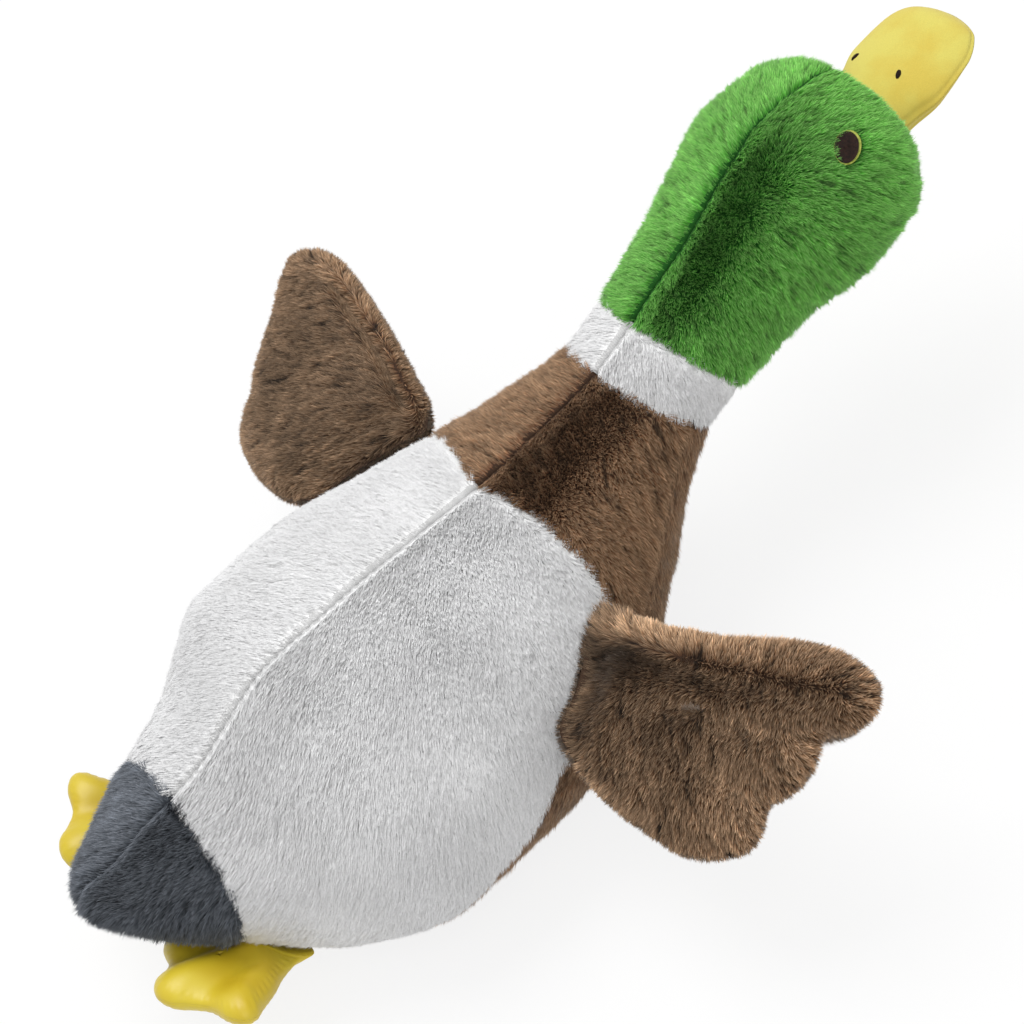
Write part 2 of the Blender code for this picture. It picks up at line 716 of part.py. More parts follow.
def build_feet(loft):
    for side_name, side in SIDES.items():
        root = loft.point(FOOT_ROOT_PLACE, FOOT_ROOT_ANGLE, -FOOT_GAP) * np.array([side, 1, 1])
        out = np.array([0.0, math.cos(FOOT_LIFT), math.sin(FOOT_LIFT)])
        level = np.array([side, 0.0, 0.0])
        raised = np.array([0.0, -math.sin(FOOT_LIFT), math.cos(FOOT_LIFT)])
        across = level * math.cos(FOOT_ROLL) + raised * math.sin(FOOT_ROLL)
        limb = Limb(root, out, across, FOOT_OUTLINE_SHARES, FOOT_MIDDLE_SHARES,
                    (FOOT_LENGTH, FOOT_WIDTH), FOOT_HALF_THICKNESS, FOOT_ROOT_HALF_THICKNESS,
                    FOOT_PINCH_LENGTH, 0.0, -FOOT_CURL, FOOT_HINGE_SHARES)
        build_limb("foot", side_name, limb, SUEDE_THICKNESS, "top", "sole",
                   ("yellow_vinyl", YELLOW_VINYL))


def build_duck():
    clear_scene()
    body, bill = body_loft(), bill_loft()
    build_body_panels(body)
    build_belly_panel(body)
    build_body_fillings(body)
    build_bill(bill)
    build_face(body, bill)
    build_wings(body)
    build_feet(body)


build_duck()
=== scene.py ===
"""The looks of the plush duck: sewn cloth panels with a mesh pile on them, stitched eyes and
nostrils, a suede bill and padded feet, with the light, the floor and the camera."""

import math

import bpy
import numpy as np
from mathutils import Matrix, Vector


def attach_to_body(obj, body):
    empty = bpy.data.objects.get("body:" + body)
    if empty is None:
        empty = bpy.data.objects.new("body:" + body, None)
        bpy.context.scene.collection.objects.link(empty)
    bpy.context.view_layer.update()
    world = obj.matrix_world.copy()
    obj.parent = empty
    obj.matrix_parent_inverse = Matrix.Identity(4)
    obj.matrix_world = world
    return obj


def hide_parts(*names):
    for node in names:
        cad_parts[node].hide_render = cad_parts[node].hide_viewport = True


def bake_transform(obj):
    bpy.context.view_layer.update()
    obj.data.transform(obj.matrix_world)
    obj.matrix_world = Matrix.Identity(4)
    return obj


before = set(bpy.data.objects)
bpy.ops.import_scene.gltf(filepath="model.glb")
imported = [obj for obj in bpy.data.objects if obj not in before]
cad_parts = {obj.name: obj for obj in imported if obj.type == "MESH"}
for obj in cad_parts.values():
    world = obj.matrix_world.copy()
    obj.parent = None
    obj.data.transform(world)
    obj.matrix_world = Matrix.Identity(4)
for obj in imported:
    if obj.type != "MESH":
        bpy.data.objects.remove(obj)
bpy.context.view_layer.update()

# Sizes of the duck in metres, the same as in the part's source
TAIL_LENGTH = 0.045
BACK_LENGTH = 0.137
BREAST_LENGTH = 0.052
COLLAR_WIDTH = 0.0185
HEAD_LENGTH = 0.1055
TORSO_HALF_WIDTH = 0.0805
TORSO_HALF_HEIGHT = 0.045
HEAD_HALF_WIDTH = 0.0422
HEAD_HALF_HEIGHT = 0.029
HEAD_CENTRE_HEIGHT = 0.1
TAIL_CENTRE_HEIGHT = 0.058
FLOOR_CUT = 0.0005
PLUSH_THICKNESS = 0.0016
SUEDE_THICKNESS = 0.001
SEAM_GAP = 0.0004
TAIL_SEAM_SWEEP = 0.0095
BREAST_SEAM_BULGE = 0.0065
COLLAR_LOW_LEAN = 0.013
COLLAR_TOP_LEAN = 0.010
BILL_LENGTH = 0.042
BILL_HALF_WIDTH = 0.0221
BILL_HALF_HEIGHT = 0.0085
BILL_BASE_DROP = 0.001
BILL_RISE = 0.0085
BELLY_SQUARENESS = 2.5
SIDES = {"left": 1, "right": -1}

NOSTRIL_SIZES = (0.0021, 0.0009)
NOSTRIL_SETBACK = 0.0126
NOSTRIL_ANGLE = math.radians(32)
NOSTRIL_ROLL = math.radians(14)
NOSTRIL_TILT = math.radians(40)
EYE_SIZES = (0.0056, 0.0043)
EYE_RIM_SIZES = [size + 0.0005 for size in EYE_SIZES]
EYE_SETBACK = 0.026
EYE_ANGLE = math.radians(53)
EYE_ROLL = math.radians(9)
EYE_TILT = math.radians(54)
# The way that the eye's rim shows, forward and down, and how far it is shifted that way
EYE_FRONT_FORWARD = 0.58
EYE_FRONT_DOWN = 0.81
EYE_RIM_SHIFT = 0.0004

WING_ROOT_PLACE = 0.1655
WING_ROOT_ANGLE = math.radians(66)
WING_ROOT_GAP = 0.0008
WING_LIFT = math.radians(-3)
WING_PITCH = math.radians(10)
LEADING_SLOPE = 0.46
FOOT_ROOT_PLACE = 0.0466
FOOT_ROOT_ANGLE = math.radians(137)
FOOT_ROOT_GAP = 0.0005
FOOT_LIFT = math.radians(29)
FOOT_ROLL = math.radians(15)
BELLY_START = 0.042

# Panels from the tail tip, half width, half height and bottom, as shares
TORSO_ROW_SHARES = (
    (0.0, 0.0, 0.0, 1.0), (0.13, 0.17, 0.18, 0.85), (0.36, 0.32, 0.28, 0.70),
    (0.76, 0.51, 0.49, 0.44), (1.11, 0.765, 0.81, 0.025), (1.36, 1.0, 0.985, 0.0),
    (1.62, 0.99, 1.0, 0.0), (1.84, 0.92, 0.98, 0.0), (2.15, 0.75, 0.87, 0.165),
    (2.63, 0.56, 0.72, 0.435),
)
# Panels from the tail tip, half width, half height and centre, as shares
HEAD_ROW_SHARES = (
    (3.10, 0.81, 0.86, 0.675), (4.04, 0.725, 0.75, 0.785), (4.26, 0.80, 0.775, 0.868),
    (4.45, 0.89, 0.86, 0.941), (4.65, 1.0, 1.0, 0.985), (4.85, 0.96, 0.94, 1.010),
    (4.95, 0.77, 0.80, 1.015), (4.985, 0.62, 0.60, 1.005),
)
BILL_ROW_SHARES = (
    (0.0, 0.80, 1.0, 0.0), (0.18, 0.85, 0.93, 0.15), (0.40, 1.0, 0.74, 0.45),
    (0.70, 0.94, 0.57, 0.80), (0.90, 0.70, 0.42, 1.0), (1.0, 0.0, 0.0, 1.0),
)
BELLY_SEAM_SHARES = (
    (-0.03, 1.0), (0.02, 0.915), (0.11, 0.78), (0.26, 0.675), (0.44, 0.60), (0.60, 0.545),
    (0.74, 0.48), (0.90, 0.465), (2.0, 0.465),
)
RIGHT_WING_OUTLINE_SHARES = (
    (-0.10, 0.23), (0.07, 0.305), (0.22, 0.372), (0.385, 0.458), (0.55, 0.568), (0.70, 0.648),
    (0.85, 0.678), (0.96, 0.655), (0.995, 0.565), (0.95, 0.462), (0.88, 0.40), (0.90, 0.32),
    (0.90, 0.235), (0.87, 0.145), (0.838, 0.095), (0.865, 0.01), (0.862, -0.08), (0.785, -0.185),
    (0.685, -0.258), (0.57, -0.292), (0.405, -0.315), (0.27, -0.312), (0.155, -0.285),
    (0.085, -0.235), (0.05, -0.12), (-0.005, 0.0), (-0.08, 0.12),
)
LEFT_WING_OUTLINE_SHARES = (
    (-0.13, 0.30), (-0.03, 0.40), (0.13, 0.462), (0.30, 0.53), (0.47, 0.59), (0.63, 0.632),
    (0.79, 0.66), (0.93, 0.63), (1.035, 0.55), (1.055, 0.43), (1.03, 0.30), (1.015, 0.20),
    (1.005, 0.11), (0.985, 0.03), (0.95, -0.05), (0.92, -0.12), (0.905, -0.205), (0.86, -0.30),
    (0.75, -0.348), (0.60, -0.37), (0.44, -0.372), (0.28, -0.355), (0.15, -0.305),
    (0.08, -0.235), (0.045, -0.115), (0.0, 0.0), (-0.045, 0.115), (-0.09, 0.23),
)
# The near wing's roll along its leading edge, the far wing's stitched line, and the near wing's
# grooves between its lobes, as shares of the wing's sizes
WING_ROLL = ((0.02, 0.12), (0.42, 0.295), (0.80, 0.48))
LEFT_WING_STITCH = ((0.02, 0.33), (0.30, 0.445), (0.68, 0.55))
WING_GROOVES = (((0.905, 0.40), (0.60, 0.20)), ((0.865, 0.09), (0.58, 0.03)))
FOOT_EDGE_SHARES = (
    (0.0, -0.12), (0.13, -0.145), (0.27, -0.22), (0.385, -0.32), (0.52, -0.42), (0.60, -0.485),
    (0.68, -0.49), (0.75, -0.41), (0.79, -0.26), (0.875, -0.17), (0.965, -0.10), (1.0, 0.0),
)
FOOT_OUTLINE_SHARES = FOOT_EDGE_SHARES + tuple(
    (back, -outward) for back, outward in reversed(FOOT_EDGE_SHARES[:-1]))
# A limb's middle and hinge are shares of its sizes. Its droop at the end is less than 0 where
# it curls up.
WING_FORM = {"middle": (0.44, 0.13), "sizes": (0.096, 0.078), "half_thickness": 0.0085,
             "root_half": 0.0018, "pinch": 0.022, "twist": math.radians(24), "droop": 0.004,
             "hinge": ((0.045, -0.115), (-0.09, 0.23))}
FOOT_FORM = {"middle": (0.56, 0.0), "sizes": (0.0508, 0.060), "half_thickness": 0.0062,
             "root_half": 0.0016, "pinch": 0.020, "twist": 0.0, "droop": -0.0022,
             "hinge": ((0.0, 0.12), (0.0, -0.12))}

# The pile, its backing and the seams
PILE_LENGTH = 0.0036
STRAND_HALF_WIDTH = 0.00024
STRAND_ROOT_DEPTH = 0.0003
STRAND_CLEARANCE = 0.0002
BACKING_THICKNESS = 0.0006
WING_BACKING_THICKNESS = 0.0005
THREAD_THICKNESS = 0.0003
CLOTH_CLEARANCE = 0.0004
TUFT_SIZE = 0.0017
SHINE_SHARE = 0.35
LOCK_WIDTH = 0.0008
LOCK_LENGTH = 0.0042
STITCH_PITCH = 0.0034
BILL_STITCH_PITCH = 0.0022
SEAM_DEPTH = 0.0010
SEAM_HALF_WIDTH = 0.0012
RIDGE_PLACE = 0.0027
STRANDS_IN_PIECE = 60000
DENSITY = 8.0e6
BAKE_CELLS = 128

CAMERA_PLACE = (-0.4839, 0.1167, 0.5463)
CAMERA_RIGHT = (-0.5404, -0.7492, -0.3829)
CAMERA_UP = (0.4642, -0.645, 0.607)
CAMERA_BACK = (-0.7018, 0.1503, 0.6964)
CAMERA_LENS = 74.3


# Random numbers and noise that repeat exactly

def chance(cells, seed):
    """A share from 0 to 1 for whole-number cells of three columns."""
    cells = cells.astype(np.int64)
    mixed = (cells[..., 0] * 73856093) ^ (cells[..., 1] * 19349663) ^ (cells[..., 2] * 83492791)
    mixed = (mixed ^ (seed * 2654435761)) & 0xFFFFFFFF
    for shift in (16, 13):
        mixed = ((mixed ^ (mixed >> shift)) * 73244475) & 0xFFFFFFFF
    return ((mixed ^ (mixed >> 16)) & 0xFFFFFF) / 0xFFFFFF


def noise(points, size, seed):
    """Smooth noise from -1 to 1 with lumps of about that size."""
    spot = points / size
    cell = np.floor(spot)
    part = spot - cell
    part = part * part * (3 - 2 * part)
    total = np.zeros(points.shape[:-1])
    for corner in range(8):
        step = np.array([corner & 1, corner >> 1 & 1, corner >> 2 & 1])
        weight = np.prod(np.where(step, part, 1 - part), axis=-1)
        total += weight * chance(cell + step, seed)
    return 2 * total - 1


def streaks(points, lay, seed):
    """Noise drawn out along the lay, as the locks of a pile are."""
    total = 0.0
    for step in range(-2, 3):
        total += noise(points + lay * (step * LOCK_LENGTH / 4), LOCK_WIDTH, seed)
    return total * 0.45


def unit(vectors):
    return vectors / np.maximum(np.linalg.norm(vectors, axis=-1, keepdims=True), 1e-12)


def dot(a, b):
    return np.sum(a * b, axis=-1, keepdims=True)


def fade(distance, reach):
    """1 at no distance, falling smoothly to 0."""
    return np.exp(-(distance / reach) ** 2)


def ramp(value, low, high):
    """0 below low, 1 above high, smooth between."""
    share = np.clip((value - low) / (high - low), 0, 1)
    return share * share * (3 - 2 * share)


# The forms

class Curve:
    """A smooth curve through the values that never overshoots them."""

    def __init__(self, places, values):
        self.places, self.values = np.array(places, float), np.array(values, float)
        self.steps = np.diff(self.places)
        slopes = np.diff(self.values) / self.steps
        tangents = np.zeros(len(self.places))
        tangents[0], tangents[-1] = slopes[0], slopes[-1]
        for i in range(1, len(tangents) - 1):
            if slopes[i - 1] * slopes[i] > 0:
                before, after = self.steps[i - 1], self.steps[i]
                heavy, light = 2 * after + before, after + 2 * before
                tangents[i] = (heavy + light) / (heavy / slopes[i - 1] + light / slopes[i])
        self.tangents = tangents

    def __call__(self, place):
        place = np.clip(place, self.places[0], self.places[-1])
        i = np.searchsorted(self.places, place, side="right") - 1
        i = np.clip(i, 0, len(self.steps) - 1)
        t = (place - self.places[i]) / self.steps[i]
        rise = self.values[i + 1] - self.values[i]
        start, end = self.tangents[i] * self.steps[i], self.tangents[i + 1] * self.steps[i]
        return self.values[i] + t * (start + t * (3 * rise - 2 * start - end
                                                  + t * (start + end - 2 * rise)))


PANEL_LENGTHS = (TAIL_LENGTH, BACK_LENGTH, BREAST_LENGTH, COLLAR_WIDTH, HEAD_LENGTH)


def place_of(panels):
    """A place along the body from a count of panels: 1 is the tail seam, 2 the breast seam."""
    whole = min(int(panels), len(PANEL_LENGTHS) - 1)
    return sum(PANEL_LENGTHS[:whole]) + PANEL_LENGTHS[whole] * (panels - whole)


def forward_of(place):
    return (place_of(5) + BILL_LENGTH) / 2 - place


class Loft:
    """A soft body of oval sections across Y, with squarer sections below the middle."""

    def __init__(self, rows):
        places = [row[0] for row in rows]
        self.start, self.end = places[0], places[-1]
        self.width_squared = Curve(places, [row[1] ** 2 for row in rows])
        self.height_squared = Curve(places, [row[2] ** 2 for row in rows])
        self.centre = Curve(places, [row[3] for row in rows])
        self.step = (self.end - self.start) / 2000

    def half_width(self, place):
        return np.sqrt(np.maximum(self.width_squared(place), 0))

    def raw(self, place, angle):
        side, up = np.sin(angle), np.cos(angle)
        power = np.where(up >= 0, 1.0, 2 / BELLY_SQUARENESS)
        height = np.sqrt(np.maximum(self.height_squared(place), 0))
        x = self.half_width(place) * np.sign(side) * np.abs(side) ** power
        z = self.centre(place) + height * np.sign(up) * np.abs(up) ** power
        return np.stack(np.broadcast_arrays(x, forward_of(place), z), axis=-1)

    def frame(self, place, angle):
        """The point, the outward normal and the directions to the tail and down the side."""
        near = np.clip(place, self.start + 2 * self.step, self.end - 2 * self.step)
        turn = math.pi / 360
        along = self.raw(near - self.step, angle) - self.raw(near + self.step, angle)
        around = self.raw(near, angle + turn) - self.raw(near, angle - turn)
        normal = unit(np.cross(around, along))
        return self.raw(place, angle), normal, unit(along), unit(around)


def bill_base_height():
    return HEAD_ROW_SHARES[-1][3] * HEAD_CENTRE_HEIGHT - BILL_BASE_DROP


def body_loft():
    rows = []
    for panels, width, height, bottom in TORSO_ROW_SHARES:
        half_height = height * TORSO_HALF_HEIGHT
        centre = bottom * TAIL_CENTRE_HEIGHT + half_height - FLOOR_CUT
        rows.append((place_of(panels), width * TORSO_HALF_WIDTH, half_height, centre))
    for panels, width, height, centre in HEAD_ROW_SHARES:
        rows.append((place_of(panels), width * HEAD_HALF_WIDTH, height * HEAD_HALF_HEIGHT,
                     centre * HEAD_CENTRE_HEIGHT))
    rows.append((place_of(5), BILL_ROW_SHARES[0][1] * BILL_HALF_WIDTH + SEAM_GAP,
                 BILL_HALF_HEIGHT + SEAM_GAP, bill_base_height()))
    return Loft(rows)


def bill_loft():
    base = place_of(5) - PLUSH_THICKNESS
    rows = []
    for along, width, height, rise in BILL_ROW_SHARES:
        rows.append((base + along * (BILL_LENGTH + PLUSH_THICKNESS), width * BILL_HALF_WIDTH,
                     height * BILL_HALF_HEIGHT, bill_base_height() + rise * BILL_RISE))
    return Loft(rows)


def leaning_seam(panels, lean):
    """A seam that keeps its place on top and leans towards the head, or back, underneath."""
    return lambda angle: place_of(panels) + lean * (1 - np.cos(angle))


def breast_seam(angle):
    wave = np.minimum(np.abs(angle) / (BELLY_SEAM_SHARES[-1][1] * math.pi), 1.0)
    return place_of(2) + BREAST_SEAM_BULGE * np.sin(math.pi * wave)


tail_seam = leaning_seam(1, -TAIL_SEAM_SWEEP)
collar_low_seam = leaning_seam(3, COLLAR_LOW_LEAN)
collar_top_seam = leaning_seam(4, COLLAR_TOP_LEAN)
CROSS_SEAMS = (tail_seam, breast_seam, collar_low_seam, collar_top_seam)
belly_seam = Curve([TAIL_LENGTH + share * BACK_LENGTH for share, _ in BELLY_SEAM_SHARES],
                   [turn * math.pi for _, turn in BELLY_SEAM_SHARES])


def level(value):
    """An edge that keeps to one place along the body, or to one angle round it."""
    return lambda spot: value + 0.0 * spot


class Patch:
    """A grid of points on a form, with the normal, the lay of the pile and its facts there."""

    def __init__(self, points, normals, lay, facts, closed=False):
        self.points, self.normals, self.lay = points, normals, unit(lay)
        self.facts, self.closed = facts, closed
        rows, columns = points.shape[:2]
        across, down = np.meshgrid(np.linspace(0, 1, columns), np.linspace(0, 1, rows))
        self.places = np.stack([across, down], axis=-1)

    def mirrored(self):
        flip = [-1.0, 1.0, 1.0]
        return Patch(self.points * flip, self.normals * flip, self.lay * flip, self.facts,
                     self.closed)


def body_patch(loft, start, end, first_angle, last_angle, counts, lay_turn):
    """The surface between two seams across the body and two along it."""
    rows, columns = counts
    row = np.linspace(0, 1, rows + 1)[:, None]
    share = np.linspace(0, 1, columns + 1)[None, :]
    place = np.broadcast_to(start(0.0) + (end(0.0) - start(0.0)) * row, (rows + 1, columns + 1))
    for _ in range(14):
        low, high = first_angle(place), last_angle(place)
        angle = low + (high - low) * share
        place = start(angle) + (end(angle) - start(angle)) * row
    points, normals, along, around = loft.frame(place, angle)
    turn = lay_turn(place)[..., None]
    lay = along * np.cos(turn) + around * np.sin(turn)
    return Patch(points, normals, lay, {"place": place, "angle": angle})


def midline_share(place):
    """How plainly the midline's seam shows: it sinks into the pile on the crown and the tail."""
    crown = place_of(4.55)
    hidden = 0.85 * ramp(place, crown, crown + 0.015)
    hidden += 0.7 * ramp(place, 0.012, 0.024) * (1 - ramp(place, 0.034, 0.044))
    return 1 - hidden


def seam_relief(distance, along, share, width=SEAM_HALF_WIDTH):
    """How deep a sewn seam draws the cloth in: puckered between the stitches."""
    pucker = 1 + 0.4 * np.cos(2 * math.pi * along / STITCH_PITCH)
    return -SEAM_DEPTH * share * pucker * fade(distance, width)


def body_relief(patch, side):
    """The seams' grooves and the lumps of the stuffing, as a height for each point."""
    place, angle = patch.facts["place"], patch.facts["angle"]
    x, y = np.abs(patch.points[..., 0]), patch.points[..., 1]
    round_body = angle * np.maximum(x, 0.02)
    over = ramp(np.cos(angle), -0.2, 0.1) * midline_share(place)
    height = seam_relief(x, y, 1.0, SEAM_HALF_WIDTH * 0.7) * over
    if side < 0:
        height += 0.00025 * fade(x - RIDGE_PLACE, 0.0016) * over
    for seam in CROSS_SEAMS:
        height += seam_relief(place - seam(angle), round_body, 0.6)
    from_belly = (angle - belly_seam(place)) * np.maximum(x, 0.01)
    collar = collar_low_seam(angle)
    inside = ramp(place, 0.04, 0.06) * (1 - ramp(place, collar, collar + 0.004))
    height += seam_relief(from_belly, place, 0.8) * inside
    lumps = 0.0009 * noise(patch.points, 0.034, 5) + 0.0003 * noise(patch.points, 0.013, 6)
    return height + lumps * ramp(patch.points[..., 2], 0.004, 0.02)


# Meshes

def add_object(name, data):
    made = bpy.data.objects.new(name, data)
    bpy.context.scene.collection.objects.link(made)
    return made


def add_mesh(name, points, faces, look):
    mesh = bpy.data.meshes.new(name)
    mesh.from_pydata(points.tolist(), [], faces)
    mesh.polygons.foreach_set("use_smooth", [True] * len(mesh.polygons))
    mesh.materials.append(look)
    mesh.update()
    return add_object(name, mesh)


def grid_faces(rows, columns, closed, flip, first):
    """The quads of a grid of points, which is numbered from first."""
    faces = []
    wrap = columns if closed else columns + 1
    for i in range(rows):
        for j in range(columns):
            a, b = first + i * wrap + j, first + i * wrap + (j + 1) % wrap
            face = (a, b, b + wrap, a + wrap)
            faces.append(face[::-1] if flip else face)
    return faces


def facing(points, normals):
    """Whether a grid's quads already face its normals."""
    i, j = points.shape[0] // 2, points.shape[1] // 2
    across, down = points[i, j + 1] - points[i, j], points[i + 1, j] - points[i, j]
    return float(np.cross(across, down) @ normals[i, j]) > 0


def skin(name, patch, height, thickness, look):
    """A closed sheet of cloth over a patch: its outer face, its inner face and its edges."""
    outer = patch.points + patch.normals * height[..., None]
    inner = outer - patch.normals * thickness
    for sheet in (outer, inner):
        sheet[..., 2] = np.maximum(sheet[..., 2], CLOTH_CLEARANCE)
    rows, columns = patch.points.shape[0] - 1, patch.points.shape[1] - 1
    if patch.closed:
        outer, inner = outer[:, :-1], inner[:, :-1]
    wrap = outer.shape[1]
    count = outer.shape[0] * wrap
    flip = not facing(patch.points, patch.normals)
    faces = grid_faces(rows, columns, patch.closed, flip, 0)
    faces += grid_faces(rows, columns, patch.closed, not flip, count)
    border = []
    if not patch.closed:
        border += [(i * wrap, (i + 1) * wrap) for i in range(rows)]
        border += [((i + 2) * wrap - 1, (i + 1) * wrap - 1) for i in range(rows)]
    last = rows * wrap
    border += [((j + 1) % wrap, j) for j in range(columns)]
    border += [(last + j, last + (j + 1) % wrap) for j in range(columns)]
    for a, b in border:
        wall = (a, b, count + b, count + a)
        faces.append(wall[::-1] if flip else wall)
    points = np.concatenate([outer.reshape(-1, 3), inner.reshape(-1, 3)])
    return add_mesh(name, points, faces, look)


def scatter(patch, height, density, seed, keep):
    """Random places on a patch, with all that a strand of pile needs to know there."""
    source = np.random.default_rng(seed)
    ground = patch.points + patch.normals * height[..., None]
    a, b, c, d = ground[:-1, :-1], ground[:-1, 1:], ground[1:, 1:], ground[1:, :-1]
    area = np.linalg.norm(np.cross(c - a, d - b), axis=-1).ravel() / 2
    total = np.cumsum(area)
    count = int(total[-1] * density)
    picked = np.searchsorted(total, source.random(count) * total[-1])
    i, j = np.divmod(np.minimum(picked, len(area) - 1), ground.shape[1] - 1)
    u, v = source.random(count), source.random(count)
    weights = ((1 - u) * (1 - v), (1 - u) * v, u * v, u * (1 - v))

    def mix(grid):
        corners = (grid[i, j], grid[i, j + 1], grid[i + 1, j + 1], grid[i + 1, j])
        return sum((corner.T * weight).T for corner, weight in zip(corners, weights))

    roots = {name: mix(grid) for name, grid in patch.facts.items()}
    roots |= {"point": mix(ground), "normal": unit(mix(patch.normals)), "lay": mix(patch.lay),
              "uv": mix(patch.places)}
    if keep is not None:
        kept = keep(roots) > source.random(count)
        roots = {name: values[kept] for name, values in roots.items()}
    return roots


def tuft_centres(points):
    """For each point, the nearest centre of a tuft."""
    home = np.floor(points / TUFT_SIZE)
    best = np.full(len(points), np.inf)
    centre = np.zeros_like(points)
    for step in np.ndindex(3, 3, 3):
        cell = home + np.array(step) - 1
        jitter = np.stack([chance(cell, seed) for seed in (11, 12, 13)], axis=-1)
        spot = (cell + jitter) * TUFT_SIZE
        distance = np.sum((spot - points) ** 2, axis=-1)
        nearer = distance < best
        best = np.where(nearer, distance, best)
        centre[nearer] = spot[nearer]
    return centre


def turned(vectors, axes, angles):
    """The vectors turned about unit axes that are square to them."""
    angles = angles[:, None]
    return vectors * np.cos(angles) + np.cross(axes, vectors) * np.sin(angles)


def strands(roots, seed, vary, locks, lean=0.9, pull=0.2, rough=1.0, calm=0.8):
    """The four points of each strand of pile, the ways they face, and its shade."""
    source = np.random.default_rng(seed)
    point, normal = roots["point"], roots["normal"]
    count = len(point)
    lay = unit(roots["lay"] - normal * dot(roots["lay"], normal))
    turn = 0.25 * noise(point, 0.004, 21) + 0.35 * noise(point, 0.013, 22)
    lay = turned(lay, normal, calm * (turn + 0.2 * source.standard_normal(count)))
    lock = streaks(point, lay, 24)
    raised = 0.16 * noise(point, 0.005, 23) + 0.13 * source.standard_normal(count) + 0.2 * lock
    leaning = lean - calm * raised - roots.get("raise", 0.0)
    long = PILE_LENGTH * roots["trim"] * (0.75 + 0.5 * source.random(count)) * (1 + 0.15 * lock)
    way = normal * np.cos(leaning)[:, None] + lay * np.sin(leaning)[:, None]
    gather = tuft_centres(point) - point
    gather = (gather - normal * dot(gather, normal)) * pull
    bottom = point - normal * STRAND_ROOT_DEPTH
    top = bottom + way * long[:, None] + gather
    way = unit(top - bottom)
    side = unit(np.cross(way, normal))
    over = np.cross(side, way)
    roll = 0.4 * source.standard_normal(count)
    side, over = turned(side, way, roll), turned(over, way, roll)
    wide = STRAND_HALF_WIDTH * (0.7 + 0.6 * source.random(count))[:, None]
    points = np.stack([bottom + side * wide, bottom - side * wide, bottom + over * wide * 0.7,
                       top], axis=1)
    points[..., 2] = np.maximum(points[..., 2], STRAND_CLEARANCE)
    tilt = np.stack([noise(point, 0.003, tilt_seed) for tilt_seed in (26, 27, 28)], axis=-1)
    soft = normal + rough * (0.25 * tilt + 0.12 * source.standard_normal((count, 3)))
    spread = (0.3 * over + side, 0.3 * over - side, over, over)
    faced = [unit(soft + SHINE_SHARE * out) for out in spread]
    # On top of each strand's own random tone, the locks paint proud strands lighter and low ones
    # darker, and paint shade into the clefts between them.
    shaded_cleft = ramp(-lock, 0.35, 0.85)
    shade = np.exp(vary * source.standard_normal(count) + locks * lock) * (1 - 1.5 * locks * shaded_cleft)
    return points, np.stack(faced, axis=1), shade * roots.get("shade", 1.0)


STRAND_CORNERS = np.array([0, 3, 2, 1, 2, 3, 0, 1, 3])


def pile_mesh(name, points, faced, shade, uv, look):
    """One object of many strands, each a slim three-sided needle."""
    count = len(points)
    mesh = bpy.data.meshes.new(name)
    mesh.vertices.add(4 * count)
    mesh.loops.add(9 * count)
    mesh.polygons.add(3 * count)
    mesh.vertices.foreach_set("co", points.astype(np.float32).ravel())
    corners = (4 * np.arange(count)[:, None] + STRAND_CORNERS).astype(np.int32)
    mesh.loops.foreach_set("vertex_index", corners.ravel())
    mesh.polygons.foreach_set("loop_start", (3 * np.arange(3 * count)).astype(np.int32))
    mesh.polygons.foreach_set("use_smooth", np.ones(3 * count, bool))
    ways = faced.astype(np.float32).ravel()
    mesh.attributes.new("custom_normal", "FLOAT_VECTOR", "POINT").data.foreach_set("vector", ways)
    mesh.update(calc_edges=True)
    tips = np.tile(np.array([0, 0, 0, 1], np.float32), count)
    mesh.attributes.new("tip", "FLOAT", "POINT").data.foreach_set("value", tips)
    shades = np.repeat(shade.astype(np.float32), 4)
    mesh.attributes.new("shade", "FLOAT", "POINT").data.foreach_set("value", shades)
    cell = np.minimum(np.floor(uv * BAKE_CELLS), BAKE_CELLS - 1)
    across, down = np.array([0.15, 0.85, 0.5, 0.5]), np.array([0.1, 0.1, 0.3, 0.9])
    spots = np.stack([(cell[:, :1] + across[STRAND_CORNERS]) / BAKE_CELLS,
                      (cell[:, 1:] + down[STRAND_CORNERS]) / BAKE_CELLS], axis=-1)
    layer = mesh.uv_layers.new(name="OFBake")
    layer.data.foreach_set("uv", spots.astype(np.float32).ravel())
    mesh.materials.append(look)
    return add_object(name, mesh)


def pile(name, patch, height, body, tone, seed, tune, density, keep, ways):
    """Grows the pile of a patch as pieces that each ride on its body."""
    roots = scatter(patch, height, DENSITY * density, seed, keep)
    tune(roots)
    points, faced, shade = strands(roots, seed + 1, **STRANDS[tone] | ways)
    order = np.argsort(roots["uv"][:, 1], kind="stable")
    parts = math.ceil(len(order) / STRANDS_IN_PIECE)
    for number, chosen in enumerate(np.array_split(order, parts), start=1):
        label = name if parts == 1 else f"{name}_{number}"
        piece = pile_mesh(label, points[chosen], faced[chosen], shade[chosen],
                          roots["uv"][chosen], PLUSH[tone])
        attach(piece, body)


def attach(piece, body):
    """Rides the piece on its body, or bakes its place into its mesh when it goes with the neck."""
    if body == "neck":
        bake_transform(piece)
    else:
        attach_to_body(piece, body)


def panel(name, patch, height, thickness, look, body, nodes):
    """A panel of cloth that stands for the named solids."""
    cloth = skin(f"{name}_cloth", patch, height, thickness, look)
    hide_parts(*nodes)
    attach(cloth, body)


def plush(name, patch, height, body, tone, seed, tune, nodes, thickness=BACKING_THICKNESS,
          fill=0.8, density=1.0, keep=None, **ways):
    """A panel of plush: its knitted backing, and the pile that grows on it."""
    panel(name, patch, height, thickness, CLOTH[tone], body, nodes)
    pile(f"{name}_pile", patch, height, body, tone, seed, tune, density, keep, ways)


# Materials

def new_look(name):
    look = bpy.data.materials.new(name)
    look.use_nodes = True
    look.node_tree.nodes.clear()
    return look


